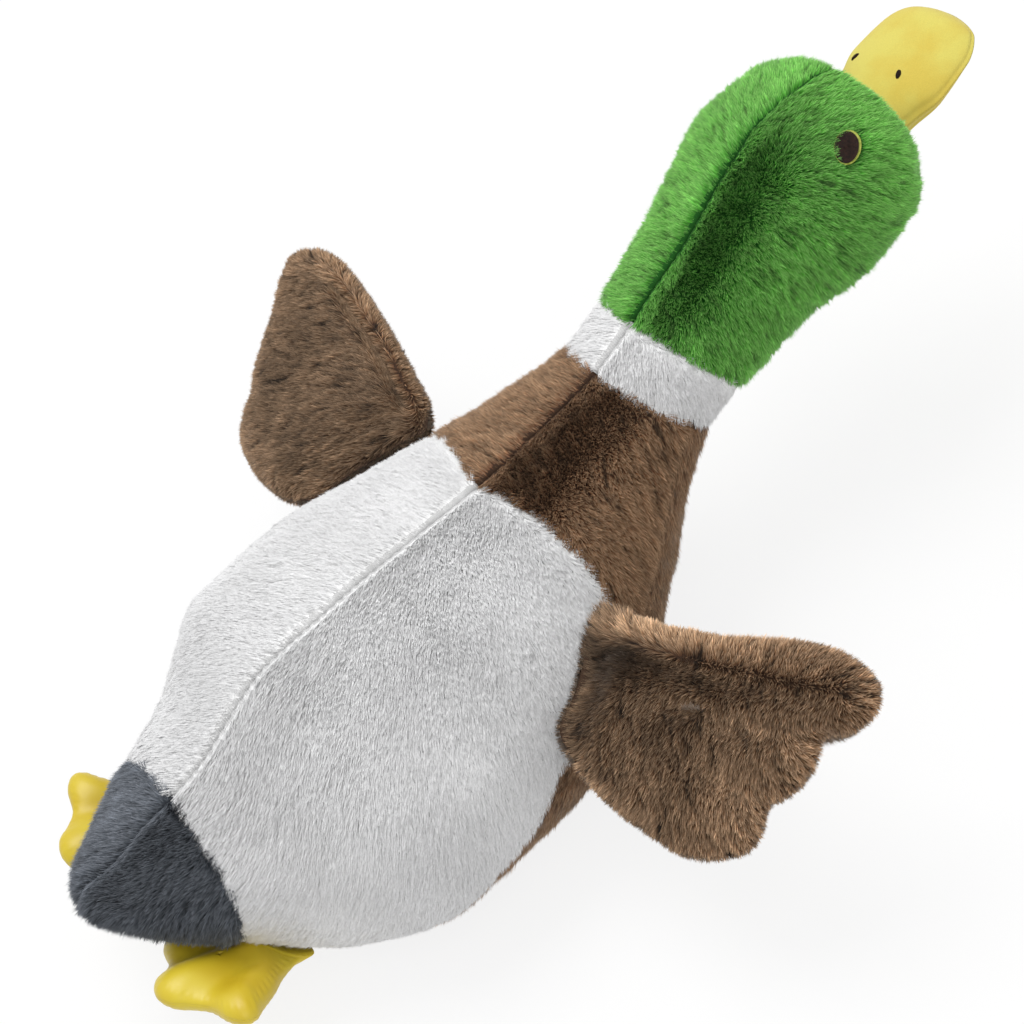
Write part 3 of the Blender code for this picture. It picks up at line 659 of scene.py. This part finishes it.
def node(look, kind, inputs=None, **settings):
    """Adds a node. Its inputs are values, or (node, output) pairs to link."""
    made = look.node_tree.nodes.new("ShaderNode" + kind)
    for key, value in settings.items():
        setattr(made, key, value)
    for key, value in (inputs or {}).items():
        if isinstance(value, tuple) and hasattr(value[0], "outputs"):
            look.node_tree.links.new(value[0].outputs[value[1]], made.inputs[key])
        else:
            made.inputs[key].default_value = value
    return made


def colour(red, green, blue):
    """A linear colour from the eight-bit values a picture shows."""
    def linear(value):
        value = value / 255
        return value / 12.92 if value <= 0.04045 else ((value + 0.055) / 1.055) ** 2.4
    return (linear(red), linear(green), linear(blue), 1.0)


def shader(look, base, roughness, normal=None, specular=0.2, **fixed):
    """The surface and the output. What is the same all over is set on the shader itself."""
    inputs = {"Base Color": base, "Roughness": roughness, "Specular IOR Level": specular}
    if normal is not None:
        inputs["Normal"] = normal
    for key, value in fixed.items():
        inputs[key.replace("_", " ")] = value
    surface = node(look, "BsdfPrincipled", inputs)
    node(look, "OutputMaterial", {"Surface": (surface, "BSDF")})
    return look


def ramp_of(look, share, stops):
    """A colour that runs through the stops, each a share and its colour."""
    made = node(look, "ValToRGB", {"Fac": share})
    elements = made.color_ramp.elements
    for element, stop in zip(elements, (stops[0], stops[-1])):
        element.position, element.color = stop
    for position, shade in stops[1:-1]:
        elements.new(position).color = shade
    return made, "Color"


def noise_of(look, scale, detail=3.0, roughness=0.55):
    spot = node(look, "TexCoord")
    made = node(look, "TexNoise", {"Vector": (spot, "Object"), "Scale": scale, "Detail": detail,
                                   "Roughness": roughness})
    return made, "Fac"


def scaled(look, share, low, high):
    """A noise's share turned into a factor between low and high."""
    made = node(look, "MapRange", {"Value": share, "From Min": 0.3, "From Max": 0.7,
                                   "To Min": low, "To Max": high})
    return made, "Result"


def times(look, base, factor):
    """A colour multiplied by a number."""
    return node(look, "VectorMath", {0: base, "Scale": factor}, operation="SCALE"), "Vector"


def bumped(look, height, strength, distance=0.0002):
    """Relief that is too fine for the mesh."""
    made = node(look, "Bump", {"Height": height, "Strength": strength, "Distance": distance})
    return made, "Normal"


def plush_look(name, root, middle, tip, patchy, sheen):
    """Strands of pile: dark at the root and pale at the tip, painted shade that deepens down into the
    pile, and uneven from tuft to tuft.
    """
    look = new_look(name)
    tip_share = node(look, "Attribute", attribute_name="tip"), "Fac"
    shade = node(look, "Attribute", attribute_name="shade"), "Fac"
    # The ramp from root to tip is painted shade deep in the pile.
    tone = ramp_of(look, tip_share, [(0.0, root), (0.45, middle), (1.0, tip)])
    patches = scaled(look, noise_of(look, 45.0), 1 - patchy, 1 + patchy)
    fine = scaled(look, noise_of(look, 1400.0, 1.0), 0.92, 1.08)
    for factor in (shade, patches, fine):
        tone = times(look, tone, factor)
    rough = scaled(look, noise_of(look, 300.0), 0.62, 0.8)
    tint = tuple(0.2 + 0.8 * part for part in tip[:3]) + (1.0,)
    return shader(look, tone, rough, Sheen_Weight=sheen, Sheen_Roughness=0.35, Sheen_Tint=tint)


def cloth_look(name, base):
    """The knitted backing under the pile: rows of fine loops."""
    look = new_look(name)
    spot = node(look, "TexCoord")
    rows = node(look, "TexWave", {"Vector": (spot, "Object"), "Scale": 420.0, "Distortion": 1.2,
                                  "Detail": 2.0}, bands_direction="Y")
    tone = times(look, base[:3], scaled(look, noise_of(look, 220.0), 0.75, 1.0))
    return shader(look, tone, 0.9, bumped(look, (rows, "Fac"), 0.5, 0.0003))


def suede_look(name, base, warm):
    """Short-napped suede cloth: tiny grain and soft patches of a warmer tone."""
    look = new_look(name)
    grain = noise_of(look, 2600.0, 4.0, 0.7)
    tone = ramp_of(look, noise_of(look, 55.0, 4.0), [(0.35, warm), (0.6, base)])
    tone = times(look, tone, scaled(look, grain, 0.9, 1.06))
    return shader(look, tone, 0.85, bumped(look, grain, 0.35), 0.25, Sheen_Weight=0.25,
                  Sheen_Roughness=0.4)


def satin_look(name, base, deep):
    """Smooth, softly shining cloth, with patches of a deeper tone."""
    look = new_look(name)
    grain = noise_of(look, 1800.0, 2.0)
    tone = ramp_of(look, noise_of(look, 40.0, 2.0), [(0.3, deep), (0.62, base)])
    return shader(look, tone, scaled(look, grain, 0.32, 0.44), bumped(look, grain, 0.08), 0.5)


def thread_look(name, base, light):
    """Embroidery thread: plies that catch the light."""
    look = new_look(name)
    plies = noise_of(look, 900.0, 3.0)
    tone = ramp_of(look, plies, [(0.35, base), (0.7, light)])
    return shader(look, tone, 0.6, bumped(look, plies, 0.4))


# Each tone's pile: its colours at the root, in the middle and at the tip, how patchy it is, and its
# sheen. The darker root colours are painted shade deep in the pile; the white's root and middle are a
# little lighter than its tip, painted light that makes up for light lost between its strands.
PLUSH_TONES = {
    "green": ((26, 84, 14), (68, 140, 43), (132, 192, 98), 0.08, 1.0),
    "white": ((238, 238, 238), (237, 237, 237), (235, 235, 236), 0.01, 0.3),
    "brown": ((78, 40, 23), (117, 85, 60), (165, 136, 107), 0.08, 1.0),
    "grey": ((40, 44, 50), (78, 83, 90), (124, 129, 137), 0.08, 1.0),
    "wing": ((58, 32, 20), (104, 77, 54), (165, 138, 111), 0.1, 1.0),
}
PLUSH = {tone: plush_look(f"{tone}_pile", *(colour(*shade) for shade in facts[:3]), *facts[3:])
         for tone, facts in PLUSH_TONES.items()}
# How each tone's strands vary: vary is each strand's own random tone, locks is the painted light and
# shade of the locks and the painted shade in their clefts, and the rest set their lean, their
# gathering into tufts, the scatter of their facing and how much they turn.
STRANDS = {
    "green": {"vary": 0.2, "locks": 0.34},
    "white": {"vary": 0.02, "locks": 0.025, "lean": 1.13, "pull": 0.0, "rough": 0.3, "calm": 0.4},
    "brown": {"vary": 0.26, "locks": 0.42},
    "grey": {"vary": 0.2, "locks": 0.32},
    "wing": {"vary": 0.3, "locks": 0.56},
}
# The backing's colours are darker than the pile: painted shade for the gaps between the strands.
BACKING_TONES = {"green": (28, 84, 24), "white": (214, 214, 214), "brown": (66, 48, 36),
                 "grey": (58, 62, 68)}
CLOTH = {tone: cloth_look(f"{tone}_backing", colour(*shade))
         for tone, shade in BACKING_TONES.items()}
CLOTH["wing"] = CLOTH["brown"]
SUEDE = suede_look("yellow_suede_cloth", colour(210, 198, 97), colour(206, 184, 80))
SATIN = satin_look("yellow_satin_cloth", colour(212, 190, 50), colour(198, 168, 32))
DARK = thread_look("dark_brown_thread", colour(26, 14, 9), colour(48, 28, 20))
RIM = thread_look("yellow_green_thread", colour(140, 150, 60), colour(184, 190, 92))


# The body

BODY = body_loft()
BILL = bill_loft()
EYE_PLACE = place_of(5) - EYE_SETBACK
EYE_HALF_WIDTH = float(BODY.half_width(np.array(EYE_PLACE)))


def eye_spot(place, angle, side):
    """How far a spot lies from the eye's middle, as a share of its rim's size, and how far it
    lies to the back and top of the eye."""
    along = place - EYE_PLACE
    up = (EYE_ANGLE + side * EYE_ROLL - angle) * EYE_HALF_WIDTH
    long_way = along * math.cos(EYE_TILT) + up * math.sin(EYE_TILT)
    wide_way = up * math.cos(EYE_TILT) - along * math.sin(EYE_TILT)
    away = np.sqrt((long_way / EYE_RIM_SIZES[0]) ** 2 + (wide_way / EYE_RIM_SIZES[1]) ** 2)
    behind = EYE_FRONT_DOWN * up - EYE_FRONT_FORWARD * along
    return away, behind / np.maximum(np.hypot(up, along), 1e-6)


def in_seam_share(roots):
    """How near a spot lies to a seam, from 0 to 1."""
    place, angle = roots["place"], roots["angle"]
    share = fade(roots["point"][:, 0], 0.0008) * ramp(np.cos(angle), -0.2, 0.1)
    share *= midline_share(place)
    for seam in CROSS_SEAMS:
        share = np.maximum(share, 0.5 * fade(place - seam(angle), 0.0009))
    return share


def seam_tune(roots, side, nap):
    """Shorter pile in the seams with painted shade there, a painted highlight on the ridge beside the
    midline, and the nap that stands up beside the midline, with its painted shade.
    """
    point, place = roots["point"], roots["place"]
    in_seam = in_seam_share(roots)
    roots["trim"] = 1 - 0.45 * in_seam
    # Painted shade in the seams, on a tone that varies at random.
    roots["shade"] = (1 - 0.3 * in_seam) * (1 + 0.07 * noise(point, 0.02, 51))
    roots["raise"] = 0.12 * noise(point, 0.02, 52)
    ragged = noise(point, 0.0024, 55)
    for seam in CROSS_SEAMS:
        before = place - seam(roots["angle"])
        over = 1.6 * fade(before, 0.0026) * ramp(ragged * np.sign(before), -0.3, 0.3)
        roots["lay"] += (over * np.sign(before))[:, None] * [0.0, 1.0, 0.0]
        roots["raise"] -= 0.15 * fade(before, 0.0026)
    if side < 0 and nap:
        x = np.abs(point[:, 0])
        # A painted highlight on the ridge beside the midline.
        roots["shade"] *= 1 + 0.1 * fade(x - RIDGE_PLACE, 0.0016)
        start, end, inner, outer, dark = nap
        place = place + 0.006 * noise(point, 0.012, 53)
        x = x + 0.003 * noise(point, 0.01, 54)
        within = ramp(place, start, start + 0.02) * (1 - ramp(place, end - 0.015, end))
        standing = ramp(x, inner, inner + 0.005) * (1 - ramp(x, outer, outer + 0.014)) * within
        roots["raise"] += 0.38 * standing
        # Painted shade on the standing nap; a dark share below 0 paints it lighter.
        roots["shade"] *= 1 - dark * standing


def face_tune(roots, side):
    """Pile that is short before the eye, as it laps over its back, with painted shade there, and pile
    that lies flatter by the bill, with painted light there.
    """
    away, behind = eye_spot(roots["place"], roots["angle"], side)
    near = fade(np.maximum(away - 1, 0), 0.35)
    before = 1 - ramp(behind, -0.3, 0.2)
    roots["trim"] *= 1 - near * (0.3 + 0.25 * before)
    by_bill = ramp(roots["place"], place_of(4.68), place_of(4.9))
    roots["raise"] -= 0.25 * by_bill
    # Painted light by the bill, and painted shade before the eye.
    roots["shade"] = roots["shade"] * (1 + 0.22 * by_bill) * (1 - 0.25 * near * before)


# Each panel of the body: its name and tone, the seams it starts and ends at, its last edge, its
# grid, the lay of its pile at both ends in degrees, and its body
HALF_TURN = level(math.pi)
BODY_PANELS = (
    ("tail", "grey", level(BODY.start), tail_seam, HALF_TURN, (30, 70), (30, 45), "torso"),
    ("back", "white", tail_seam, breast_seam, belly_seam, (80, 60), (42, 68), "torso"),
    ("breast", "brown", breast_seam, collar_low_seam, belly_seam, (32, 48), (70, 70), "torso"),
    ("collar", "white", collar_low_seam, collar_top_seam, HALF_TURN, (12, 60), (60, 60), "neck"),
    ("head", "green", collar_top_seam, level(place_of(5)), HALF_TURN, (70, 70), (58, 150), "head"),
)
# The pile that stands up right of the midline: its start and end along the body, its inner and outer
# edge, and how dark it is, as painted shade that paints it lighter below 0
NAPS = {
    "tail": (-0.03, place_of(1) + 0.03, 0.002, 0.08, 0.3),
    "breast": (place_of(2) - 0.012, place_of(3) + 0.016, 0.0035, 0.019, -0.15),
    "head": (place_of(4) - 0.012, place_of(4.76), 0.0035, 0.015, 0.12),
}
FILLINGS = {"back": ["body_filling"], "collar": ["neck_filling"], "head": ["head_filling"]}


def build_panel(number, name, tone, start, end, last, counts, lays, body):
    """One sewn panel on both sides of the midline, with its pile."""
    def lay_turn(place):
        share = np.clip((place - start(0.0)) / (end(0.0) - start(0.0)), 0, 1)
        return np.radians(lays[0] + (lays[1] - lays[0]) * share)

    base = body_patch(BODY, start, end, level(0.0), last, counts, lay_turn)
    for side_name, side in SIDES.items():
        def tune(roots):
            seam_tune(roots, side, NAPS.get(name))
            if name == "head":
                face_tune(roots, side)

        def clear_of_eye(roots):
            away, _ = eye_spot(roots["place"], roots["angle"], side)
            return np.where(away > 1.0, 1.0, 0.0)

        patch = base if side > 0 else base.mirrored()
        ground = body_relief(patch, side) - PLUSH_THICKNESS
        label = f"{name}_{side_name}"
        filling = FILLINGS.get(name, []) if side > 0 else []
        plush(label, patch, ground, body, tone, 100 + 10 * number + (side > 0), tune,
              [label, *filling], keep=clear_of_eye if name == "head" else None)


def build_body():
    """The tail, the back, the breast, the collar and the head."""
    for number, facts in enumerate(BODY_PANELS):
        build_panel(number, *facts)


def build_belly():
    """The brown gusset under the body, flat where it stands."""
    def last(place):
        return 2 * math.pi - belly_seam(place)

    def tune(roots):
        roots["trim"] = 0.6 + 0.4 * ramp(roots["point"][:, 2], 0.004, 0.02)

    base = body_patch(BODY, level(BELLY_START), collar_low_seam, belly_seam, last, (110, 110),
                      level(0.0))
    base.facts["angle"] = np.minimum(base.facts["angle"], 2 * math.pi - base.facts["angle"])
    ground = body_relief(base, 1) - PLUSH_THICKNESS
    plush("belly", base, ground, "torso", "brown", 190, tune, ["belly_panel"], density=0.8,
          lean=1.15)


# The limbs

def smooth_outline(corners, count):
    """A closed curve through the corners, as evenly spaced points."""
    corners = np.array(corners)
    before, after = np.roll(corners, 1, axis=0), np.roll(corners, -1, axis=0)
    beyond = np.roll(corners, -2, axis=0)
    t = np.linspace(0, 1, 24, endpoint=False)[:, None, None]
    curve = 0.5 * (2 * corners + (after - before) * t
                   + (2 * before - 5 * corners + 4 * after - beyond) * t**2
                   + (3 * corners - before - 3 * after + beyond) * t**3)
    curve = curve.transpose(1, 0, 2).reshape(-1, 2)
    closed = np.vstack([curve, curve[:1]])
    run = np.concatenate([[0], np.cumsum(np.linalg.norm(np.diff(closed, axis=0), axis=1))])
    spots = np.linspace(0, run[-1], count + 1)
    return np.stack([np.interp(spots, run, closed[:, k]) for k in (0, 1)], axis=-1)


class Limb:
    """A flat stuffed limb: its frame, its outline, and how thick it is."""

    def __init__(self, root, out, forward, outline, form):
        self.root, self.out, self.forward, self.form = root, out, forward, form
        self.up = np.cross(out, forward)
        self.up *= math.copysign(1.0, self.up[2])
        self.sizes = np.array(form["sizes"])
        self.middle, self.hinge, self.outline = (
            np.array(shares) * self.sizes for shares in (form["middle"], form["hinge"], outline))

    def half_height(self, flat, share):
        line, away = self.hinge[1] - self.hinge[0], flat - self.hinge[0]
        from_hinge = np.abs(line[0] * away[..., 1] - line[1] * away[..., 0]) / np.linalg.norm(line)
        root_half, half = self.form["root_half"], self.form["half_thickness"]
        full = root_half + (half - root_half) * ramp(from_hinge, 0.0, self.form["pinch"])
        return full * np.sqrt(np.maximum(1 - share**3, 0))

    def place(self, flat, height):
        reach = np.maximum(flat[..., 0], 0.0) / self.sizes[0]
        twist, droop = math.tan(self.form["twist"]), self.form["droop"]
        bend = flat[..., 1] * twist * reach - droop * reach**2
        return (self.root + flat[..., :1] * self.out + flat[..., 1:] * self.forward
                + (height + bend)[..., None] * self.up)

    def patch(self, way, rings, columns, lay, relief, over_rim):
        """One side of the limb as a grid from its middle to its rim."""
        rim = smooth_outline(self.outline, columns)
        share = np.sin(np.linspace(0.02, 1, rings) * math.pi / 2)[:, None]
        flat = self.middle + (rim - self.middle)[None, :, :] * share[..., None]
        share = np.broadcast_to(share, flat.shape[:2])
        shares = flat / self.sizes
        height = self.half_height(flat, share) * (1 + relief(shares, share))
        points = self.place(flat, way * height)
        down = np.gradient(points, axis=0)
        across = (np.roll(points[:, :-1], -1, axis=1) - np.roll(points[:, :-1], 1, axis=1))
        across = np.concatenate([across, across[:, :1]], axis=1)
        normals = unit(np.cross(across, down))
        normals *= np.sign(dot(normals, self.up * way).mean())
        direction = self.out * lay[0] + self.forward * lay[1] + 0.0 * points
        part = over_rim(shares, share)[..., None]
        direction = unit(direction) * (1 - part) + unit(down) * part
        facts = {"share": share, "out": shares[..., 0], "forward": shares[..., 1]}
        return Patch(points, normals, direction, facts, closed=True)


def limb_root(place, angle, gap, side):
    """Where a limb is sewn on, just clear of the body."""
    point, normal, _, _ = BODY.frame(np.array(place), np.array(angle))
    return (point + normal * gap) * [side, 1, 1]


def wing_limb(side):
    root = limb_root(WING_ROOT_PLACE, WING_ROOT_ANGLE, WING_ROOT_GAP, side)
    out = np.array([side * math.cos(WING_LIFT), 0.0, math.sin(WING_LIFT)])
    forward = np.array([0.0, -math.cos(WING_PITCH), math.sin(WING_PITCH)])
    forward = unit(forward - out * float(forward @ out))
    outline = RIGHT_WING_OUTLINE_SHARES if side < 0 else LEFT_WING_OUTLINE_SHARES
    return Limb(root, out, forward, outline, WING_FORM)


def foot_limb(side):
    root = limb_root(FOOT_ROOT_PLACE, FOOT_ROOT_ANGLE, FOOT_ROOT_GAP, side)
    out = np.array([0.0, math.cos(FOOT_LIFT), math.sin(FOOT_LIFT)])
    raised = np.array([0.0, -math.sin(FOOT_LIFT), math.cos(FOOT_LIFT)])
    across = np.array([side, 0.0, 0.0]) * math.cos(FOOT_ROLL) + raised * math.sin(FOOT_ROLL)
    return Limb(root, out, across, FOOT_OUTLINE_SHARES, FOOT_FORM)


def segment_distance(flat, start, end):
    """How far points lie from a straight line between two points."""
    start, end = np.array(start), np.array(end)
    line = end - start
    share = np.clip(((flat - start) @ line) / float(line @ line), 0, 1)
    return np.linalg.norm(flat - start - share[..., None] * line, axis=-1)


def line_distance(flat, corners):
    """How far points lie from a bent line."""
    return np.minimum(segment_distance(flat, *corners[:2]), segment_distance(flat, *corners[1:]))


def wing_relief(flat, share):
    """The near wing: a padded roll along the leading edge, the valley behind it, and lobes."""
    valley = line_distance(flat, WING_ROLL)
    height = -0.20 * fade(valley, 0.07) + 0.18 * fade(valley - 0.15, 0.09)
    for groove in WING_GROOVES:
        height -= 0.30 * fade(segment_distance(flat, *groove), 0.06)
    return height * ramp(share, 0.05, 0.2) + 0.1


def left_wing_relief(flat, share):
    """The far wing: a stitched line inside its leading edge, and hardly any lobes."""
    stitch = line_distance(flat, LEFT_WING_STITCH)
    pucker = 1 + 0.35 * np.cos(2 * math.pi * flat[..., 0] / 0.055)
    return 0.1 - 0.34 * pucker * fade(stitch, 0.022) * ramp(share, 0.05, 0.2)


def wing_over_rim(flat, share):
    """How far the pile turns to run over the wing's edge: wholly so on the leading edge."""
    roll = ramp(flat[..., 1] - LEADING_SLOPE * flat[..., 0], 0.10, 0.16) * ramp(share, 0.3, 0.5)
    return np.maximum(roll, ramp(share, 0.7, 0.95))


def left_wing_over_rim(flat, share):
    """The far wing's pile turns only at its edge."""
    return ramp(share, 0.78, 0.98)


def wing_tune(roots, side):
    """Painted shade on patches of standing pile, at the root, in the middle, in the valley behind the
    near wing's roll and on the far wing's stitched line; painted highlights on the near wing's roll
    and tip, on the rim, and on the far wing's leading edge.
    """
    out, forward, share = roots["out"], roots["forward"], roots["share"]
    flat = np.stack([out, forward], axis=-1)
    # Below, dark is painted shade and light is a painted highlight, carried in the strands' shade.
    patchy = ramp(noise(roots["point"], 0.016, 61), -0.1, 0.55)
    root = 1 - ramp(out, 0.02, 0.3)
    rim = ramp(share, 0.86, 1.0)
    at_root = 1 - ramp(out, -0.04, 0.08)
    if side < 0:
        roll = ramp(forward - out * LEADING_SLOPE, 0.12, 0.18)
        behind = ramp(0.105 - forward + out * LEADING_SLOPE, -0.06, 0.02)
        band = fade(line_distance(flat, WING_ROLL), 0.17) * behind * (1 - ramp(out, 0.3, 0.6))
        inside = 1 - ramp(share, 0.6, 0.95)
        dark = (0.25 * band + 0.2 * patchy + 0.5 * root + 0.14 * inside) * (1 - roll)
        tip = ramp(out, 0.5, 0.8)
        light = 0.75 * roll * (1 - 0.7 * tip) + 0.3 * rim + 0.3 * tip * (1 - roll)
    else:
        leading = ramp(forward - out * 0.3, 0.30, 0.38)
        inside = 1 - ramp(share, 0.5, 0.95)
        field = 0.15 * patchy + 0.15 * root + 0.12 + 0.24 * inside
        dark = 0.45 * fade(line_distance(flat, LEFT_WING_STITCH), 0.016) + field * (1 - leading)
        light = 0.28 * np.maximum(rim, leading)
        at_root *= 1 - leading
    light *= 1 - at_root
    roots["raise"] = 0.5 * dark - 0.2 * light
    roots["shade"] = (1 - dark) * (1 + light)
    roots["trim"] = 1 - 0.35 * ramp(share, 0.8, 1.0) + 0.55 * at_root


def under_wing_tune(roots):
    """A painted highlight on the pile at the rim, which is shorter there."""
    rim = ramp(roots["share"], 0.8, 1.0)
    roots["shade"] = 1 + 0.3 * rim
    roots["trim"] = 1 - 0.35 * rim


def plain(flat, share):
    """No relief, or no turn of the pile."""
    return 0.0 * share


def foot_relief(flat, share):
    """Three padded toes with a hollow web between them."""
    height = 0.0 * share
    for toe in ((1.0, 0.0), (0.66, 0.46), (0.66, -0.46)):
        height += 0.26 * fade(segment_distance(flat, (0.20, 0.0), toe), 0.115)
    for hollow in ((0.88, 0.22), (0.88, -0.22)):
        height -= 0.30 * fade(segment_distance(flat, (0.45, hollow[1] * 0.62), hollow), 0.09)
    return height * ramp(flat[..., 0], 0.1, 0.35)


def build_wings():
    """Both wings, each with cloth and pile on top and underneath."""
    for side_name, side in SIDES.items():
        def top_tune(roots):
            wing_tune(roots, side)

        limb = wing_limb(side)
        top_relief = wing_relief if side < 0 else left_wing_relief
        over_rim = wing_over_rim if side < 0 else left_wing_over_rim
        for part, way, relief, tune in (("top", 1, top_relief, top_tune),
                                        ("under", -1, plain, under_wing_tune)):
            patch = limb.patch(way, 44, 190, (0.75, -0.66), relief, over_rim)
            lumps = 0.0004 * noise(patch.points, 0.012, 31) - PLUSH_THICKNESS * 0.8
            label = f"wing_{part}_{side_name}"
            filling = [f"wing_filling_{side_name}"] if way > 0 else []
            plush(label, patch, lumps, f"wing_{side_name}", "wing",
                  300 + 10 * (side > 0) + (way > 0), tune, [label, *filling],
                  thickness=WING_BACKING_THICKNESS, fill=0.6, density=1.0 if way > 0 else 0.8)


def build_feet():
    """Both feet, each with a padded top and a flat sole that pucker at their edge."""
    for side_name, side in SIDES.items():
        limb = foot_limb(side)
        for part, way, relief in (("top", 1, foot_relief), ("sole", -1, plain)):
            patch = limb.patch(way, 40, 200, (1.0, 0.0), relief, plain)
            pucker = 0.0001 * np.cos(np.linspace(0, 2 * math.pi * 55, patch.points.shape[1]))
            height = pucker[None, :] * fade(patch.facts["share"] - 0.93, 0.05)
            label = f"foot_{part}_{side_name}"
            filling = [f"foot_filling_{side_name}"] if way > 0 else []
            panel(label, patch, height, SUEDE_THICKNESS, SATIN, f"foot_{side_name}",
                  [label, *filling])


# The bill and the face

def build_bill():
    """Two suede halves that meet in a seam round the bill's edge."""
    count = 60
    for name, first, filling in (("bill_upper", -0.5, ["bill_filling"]), ("bill_lower", 0.5, [])):
        row = np.sin(np.linspace(0, 1, count + 1) * math.pi / 2)[:, None]
        place = np.broadcast_to(BILL.start + (BILL.end - BILL.start) * row, (count + 1, count + 1))
        angle = (first + np.linspace(0, 1, count + 1)[None, :]) * math.pi + 0.0 * place
        points, normals, along, _ = BILL.frame(place, angle)
        patch = Patch(points, normals, along, {})
        from_seam = np.abs(np.cos(angle)) * BILL_HALF_HEIGHT
        pucker = 1 + 0.3 * np.cos(2 * math.pi * place / BILL_STITCH_PITCH)
        height = 0.0004 * fade(from_seam, 0.0005) - 0.0004 * pucker * fade(from_seam - 0.0019, 0.0008)
        height += 0.0002 * noise(points, 0.008, 41)
        panel(name, patch, height, SUEDE_THICKNESS, SUEDE, "head",
              [name, *filling])


def stitched_oval(name, side, loft, place, angle, sizes, tilt, rise, threads, look):
    """A satin-stitched oval: raised threads side by side across a domed patch."""
    across = float(loft.half_width(np.array(place)))
    rings, columns = 40, 96
    share = np.linspace(0.0, 1.0, rings)[:, None]
    turn = np.linspace(0, 2 * math.pi, columns + 1)[None, :]
    long_way = sizes[0] * share * np.cos(turn)
    wide_way = sizes[1] * share * np.sin(turn)
    along = long_way * math.cos(tilt) - wide_way * math.sin(tilt)
    down = long_way * math.sin(tilt) + wide_way * math.cos(tilt)
    point, normal, lay, _ = loft.frame(place + along, angle - down / across)
    ridges = np.abs(np.sin(math.pi * threads * long_way / (2 * sizes[0])))
    height = rise * np.sqrt(np.maximum(1 - share**4, 0)) + 0.00022 * ridges * (1 - share**6) - 0.0006
    patch = Patch(point, normal, lay, {}, closed=True)
    if side < 0:
        patch = patch.mirrored()
    oval = skin(f"{name}_stitches", patch, height + 0.0 * turn, THREAD_THICKNESS, look)
    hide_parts(name)
    attach(oval, "head")


def build_face():
    """The eyes, with rims that show at their front and lower edge, and the nostrils."""
    for side_name, side in SIDES.items():
        angle = EYE_ANGLE + side * EYE_ROLL
        stitched_oval(f"eye_{side_name}", side, BODY, EYE_PLACE, angle, EYE_SIZES, EYE_TILT,
                      -0.0003, 26, DARK)
        angle = angle + EYE_RIM_SHIFT * EYE_FRONT_DOWN / EYE_HALF_WIDTH
        stitched_oval(f"eye_rim_{side_name}", side, BODY,
                      EYE_PLACE + EYE_RIM_SHIFT * EYE_FRONT_FORWARD, angle, EYE_RIM_SIZES,
                      EYE_TILT, -0.0006, 30, RIM)
        stitched_oval(f"nostril_{side_name}", side, BILL,
                      BILL.start + PLUSH_THICKNESS + NOSTRIL_SETBACK,
                      NOSTRIL_ANGLE + side * NOSTRIL_ROLL, NOSTRIL_SIZES, NOSTRIL_TILT,
                      0.0011, 9, DARK)


# The floor, the light and the camera

def build_floor():
    """A pale floor that looks evenly bright to the camera and still takes the shadow."""
    look = new_look("pale_floor")
    stops = [(0.3, (0.86, 0.86, 0.86, 1)), (0.7, (0.9, 0.9, 0.9, 1))]
    tone = ramp_of(look, noise_of(look, 30.0), stops)
    surface = node(look, "BsdfDiffuse", {"Color": tone})
    glow = node(look, "Emission", {"Color": (1, 1, 1, 1), "Strength": 1.0})
    path = node(look, "LightPath")
    seen = path, "Is Camera Ray"
    for ray in ("Is Glossy Ray", "Is Transmission Ray"):
        seen = node(look, "Math", {0: seen, 1: (path, ray)}, operation="MAXIMUM"), "Value"
    share = node(look, "Math", {0: seen, 1: 0.84}, operation="MULTIPLY"), "Value"
    mixed = node(look, "MixShader", {0: share, 1: (surface, "BSDF"), 2: (glow, "Emission")})
    node(look, "OutputMaterial", {"Surface": (mixed, "Shader")})
    half = 3.0
    corners = np.array([[-half, -half, 0], [half, -half, 0], [half, half, 0], [-half, half, 0]])
    add_mesh("floor", corners, [(0, 1, 2, 3)], look)


def add_lamp(name, place, size, power):
    """A round lamp that faces the duck."""
    lamp = bpy.data.lights.new(name, "AREA")
    lamp.shape, lamp.size, lamp.energy = "DISK", size, power
    thing = add_object(name, lamp)
    thing.location = place
    toward = Vector((0, 0, 0.05)) - Vector(place)
    thing.rotation_euler = toward.to_track_quat("-Z", "Y").to_euler()


def build_light():
    add_lamp("key_lamp", (0.5, -0.1, 1.45), 1.1, 14.0)
    add_lamp("fill_lamp", (-1.0, 0.1, 1.1), 1.2, 4.0)
    world = bpy.data.worlds.new("studio")
    world.use_nodes = True
    bpy.context.scene.world = world
    backdrop = world.node_tree.nodes["Background"]
    backdrop.inputs["Color"].default_value = (1, 1, 1, 1)
    backdrop.inputs["Strength"].default_value = 0.65


def build_camera():
    data = bpy.data.cameras.new("camera")
    data.lens = CAMERA_LENS
    camera = add_object("camera", data)
    axes = zip(CAMERA_RIGHT, CAMERA_UP, CAMERA_BACK, CAMERA_PLACE)
    camera.matrix_world = Matrix([*axes, (0, 0, 0, 1)])
    bpy.context.scene.camera = camera


def build_scene():
    build_body()
    build_belly()
    build_wings()
    build_feet()
    build_bill()
    build_face()
    build_floor()
    build_light()
    build_camera()
    bpy.context.scene.view_settings.view_transform = "Standard"


build_scene()
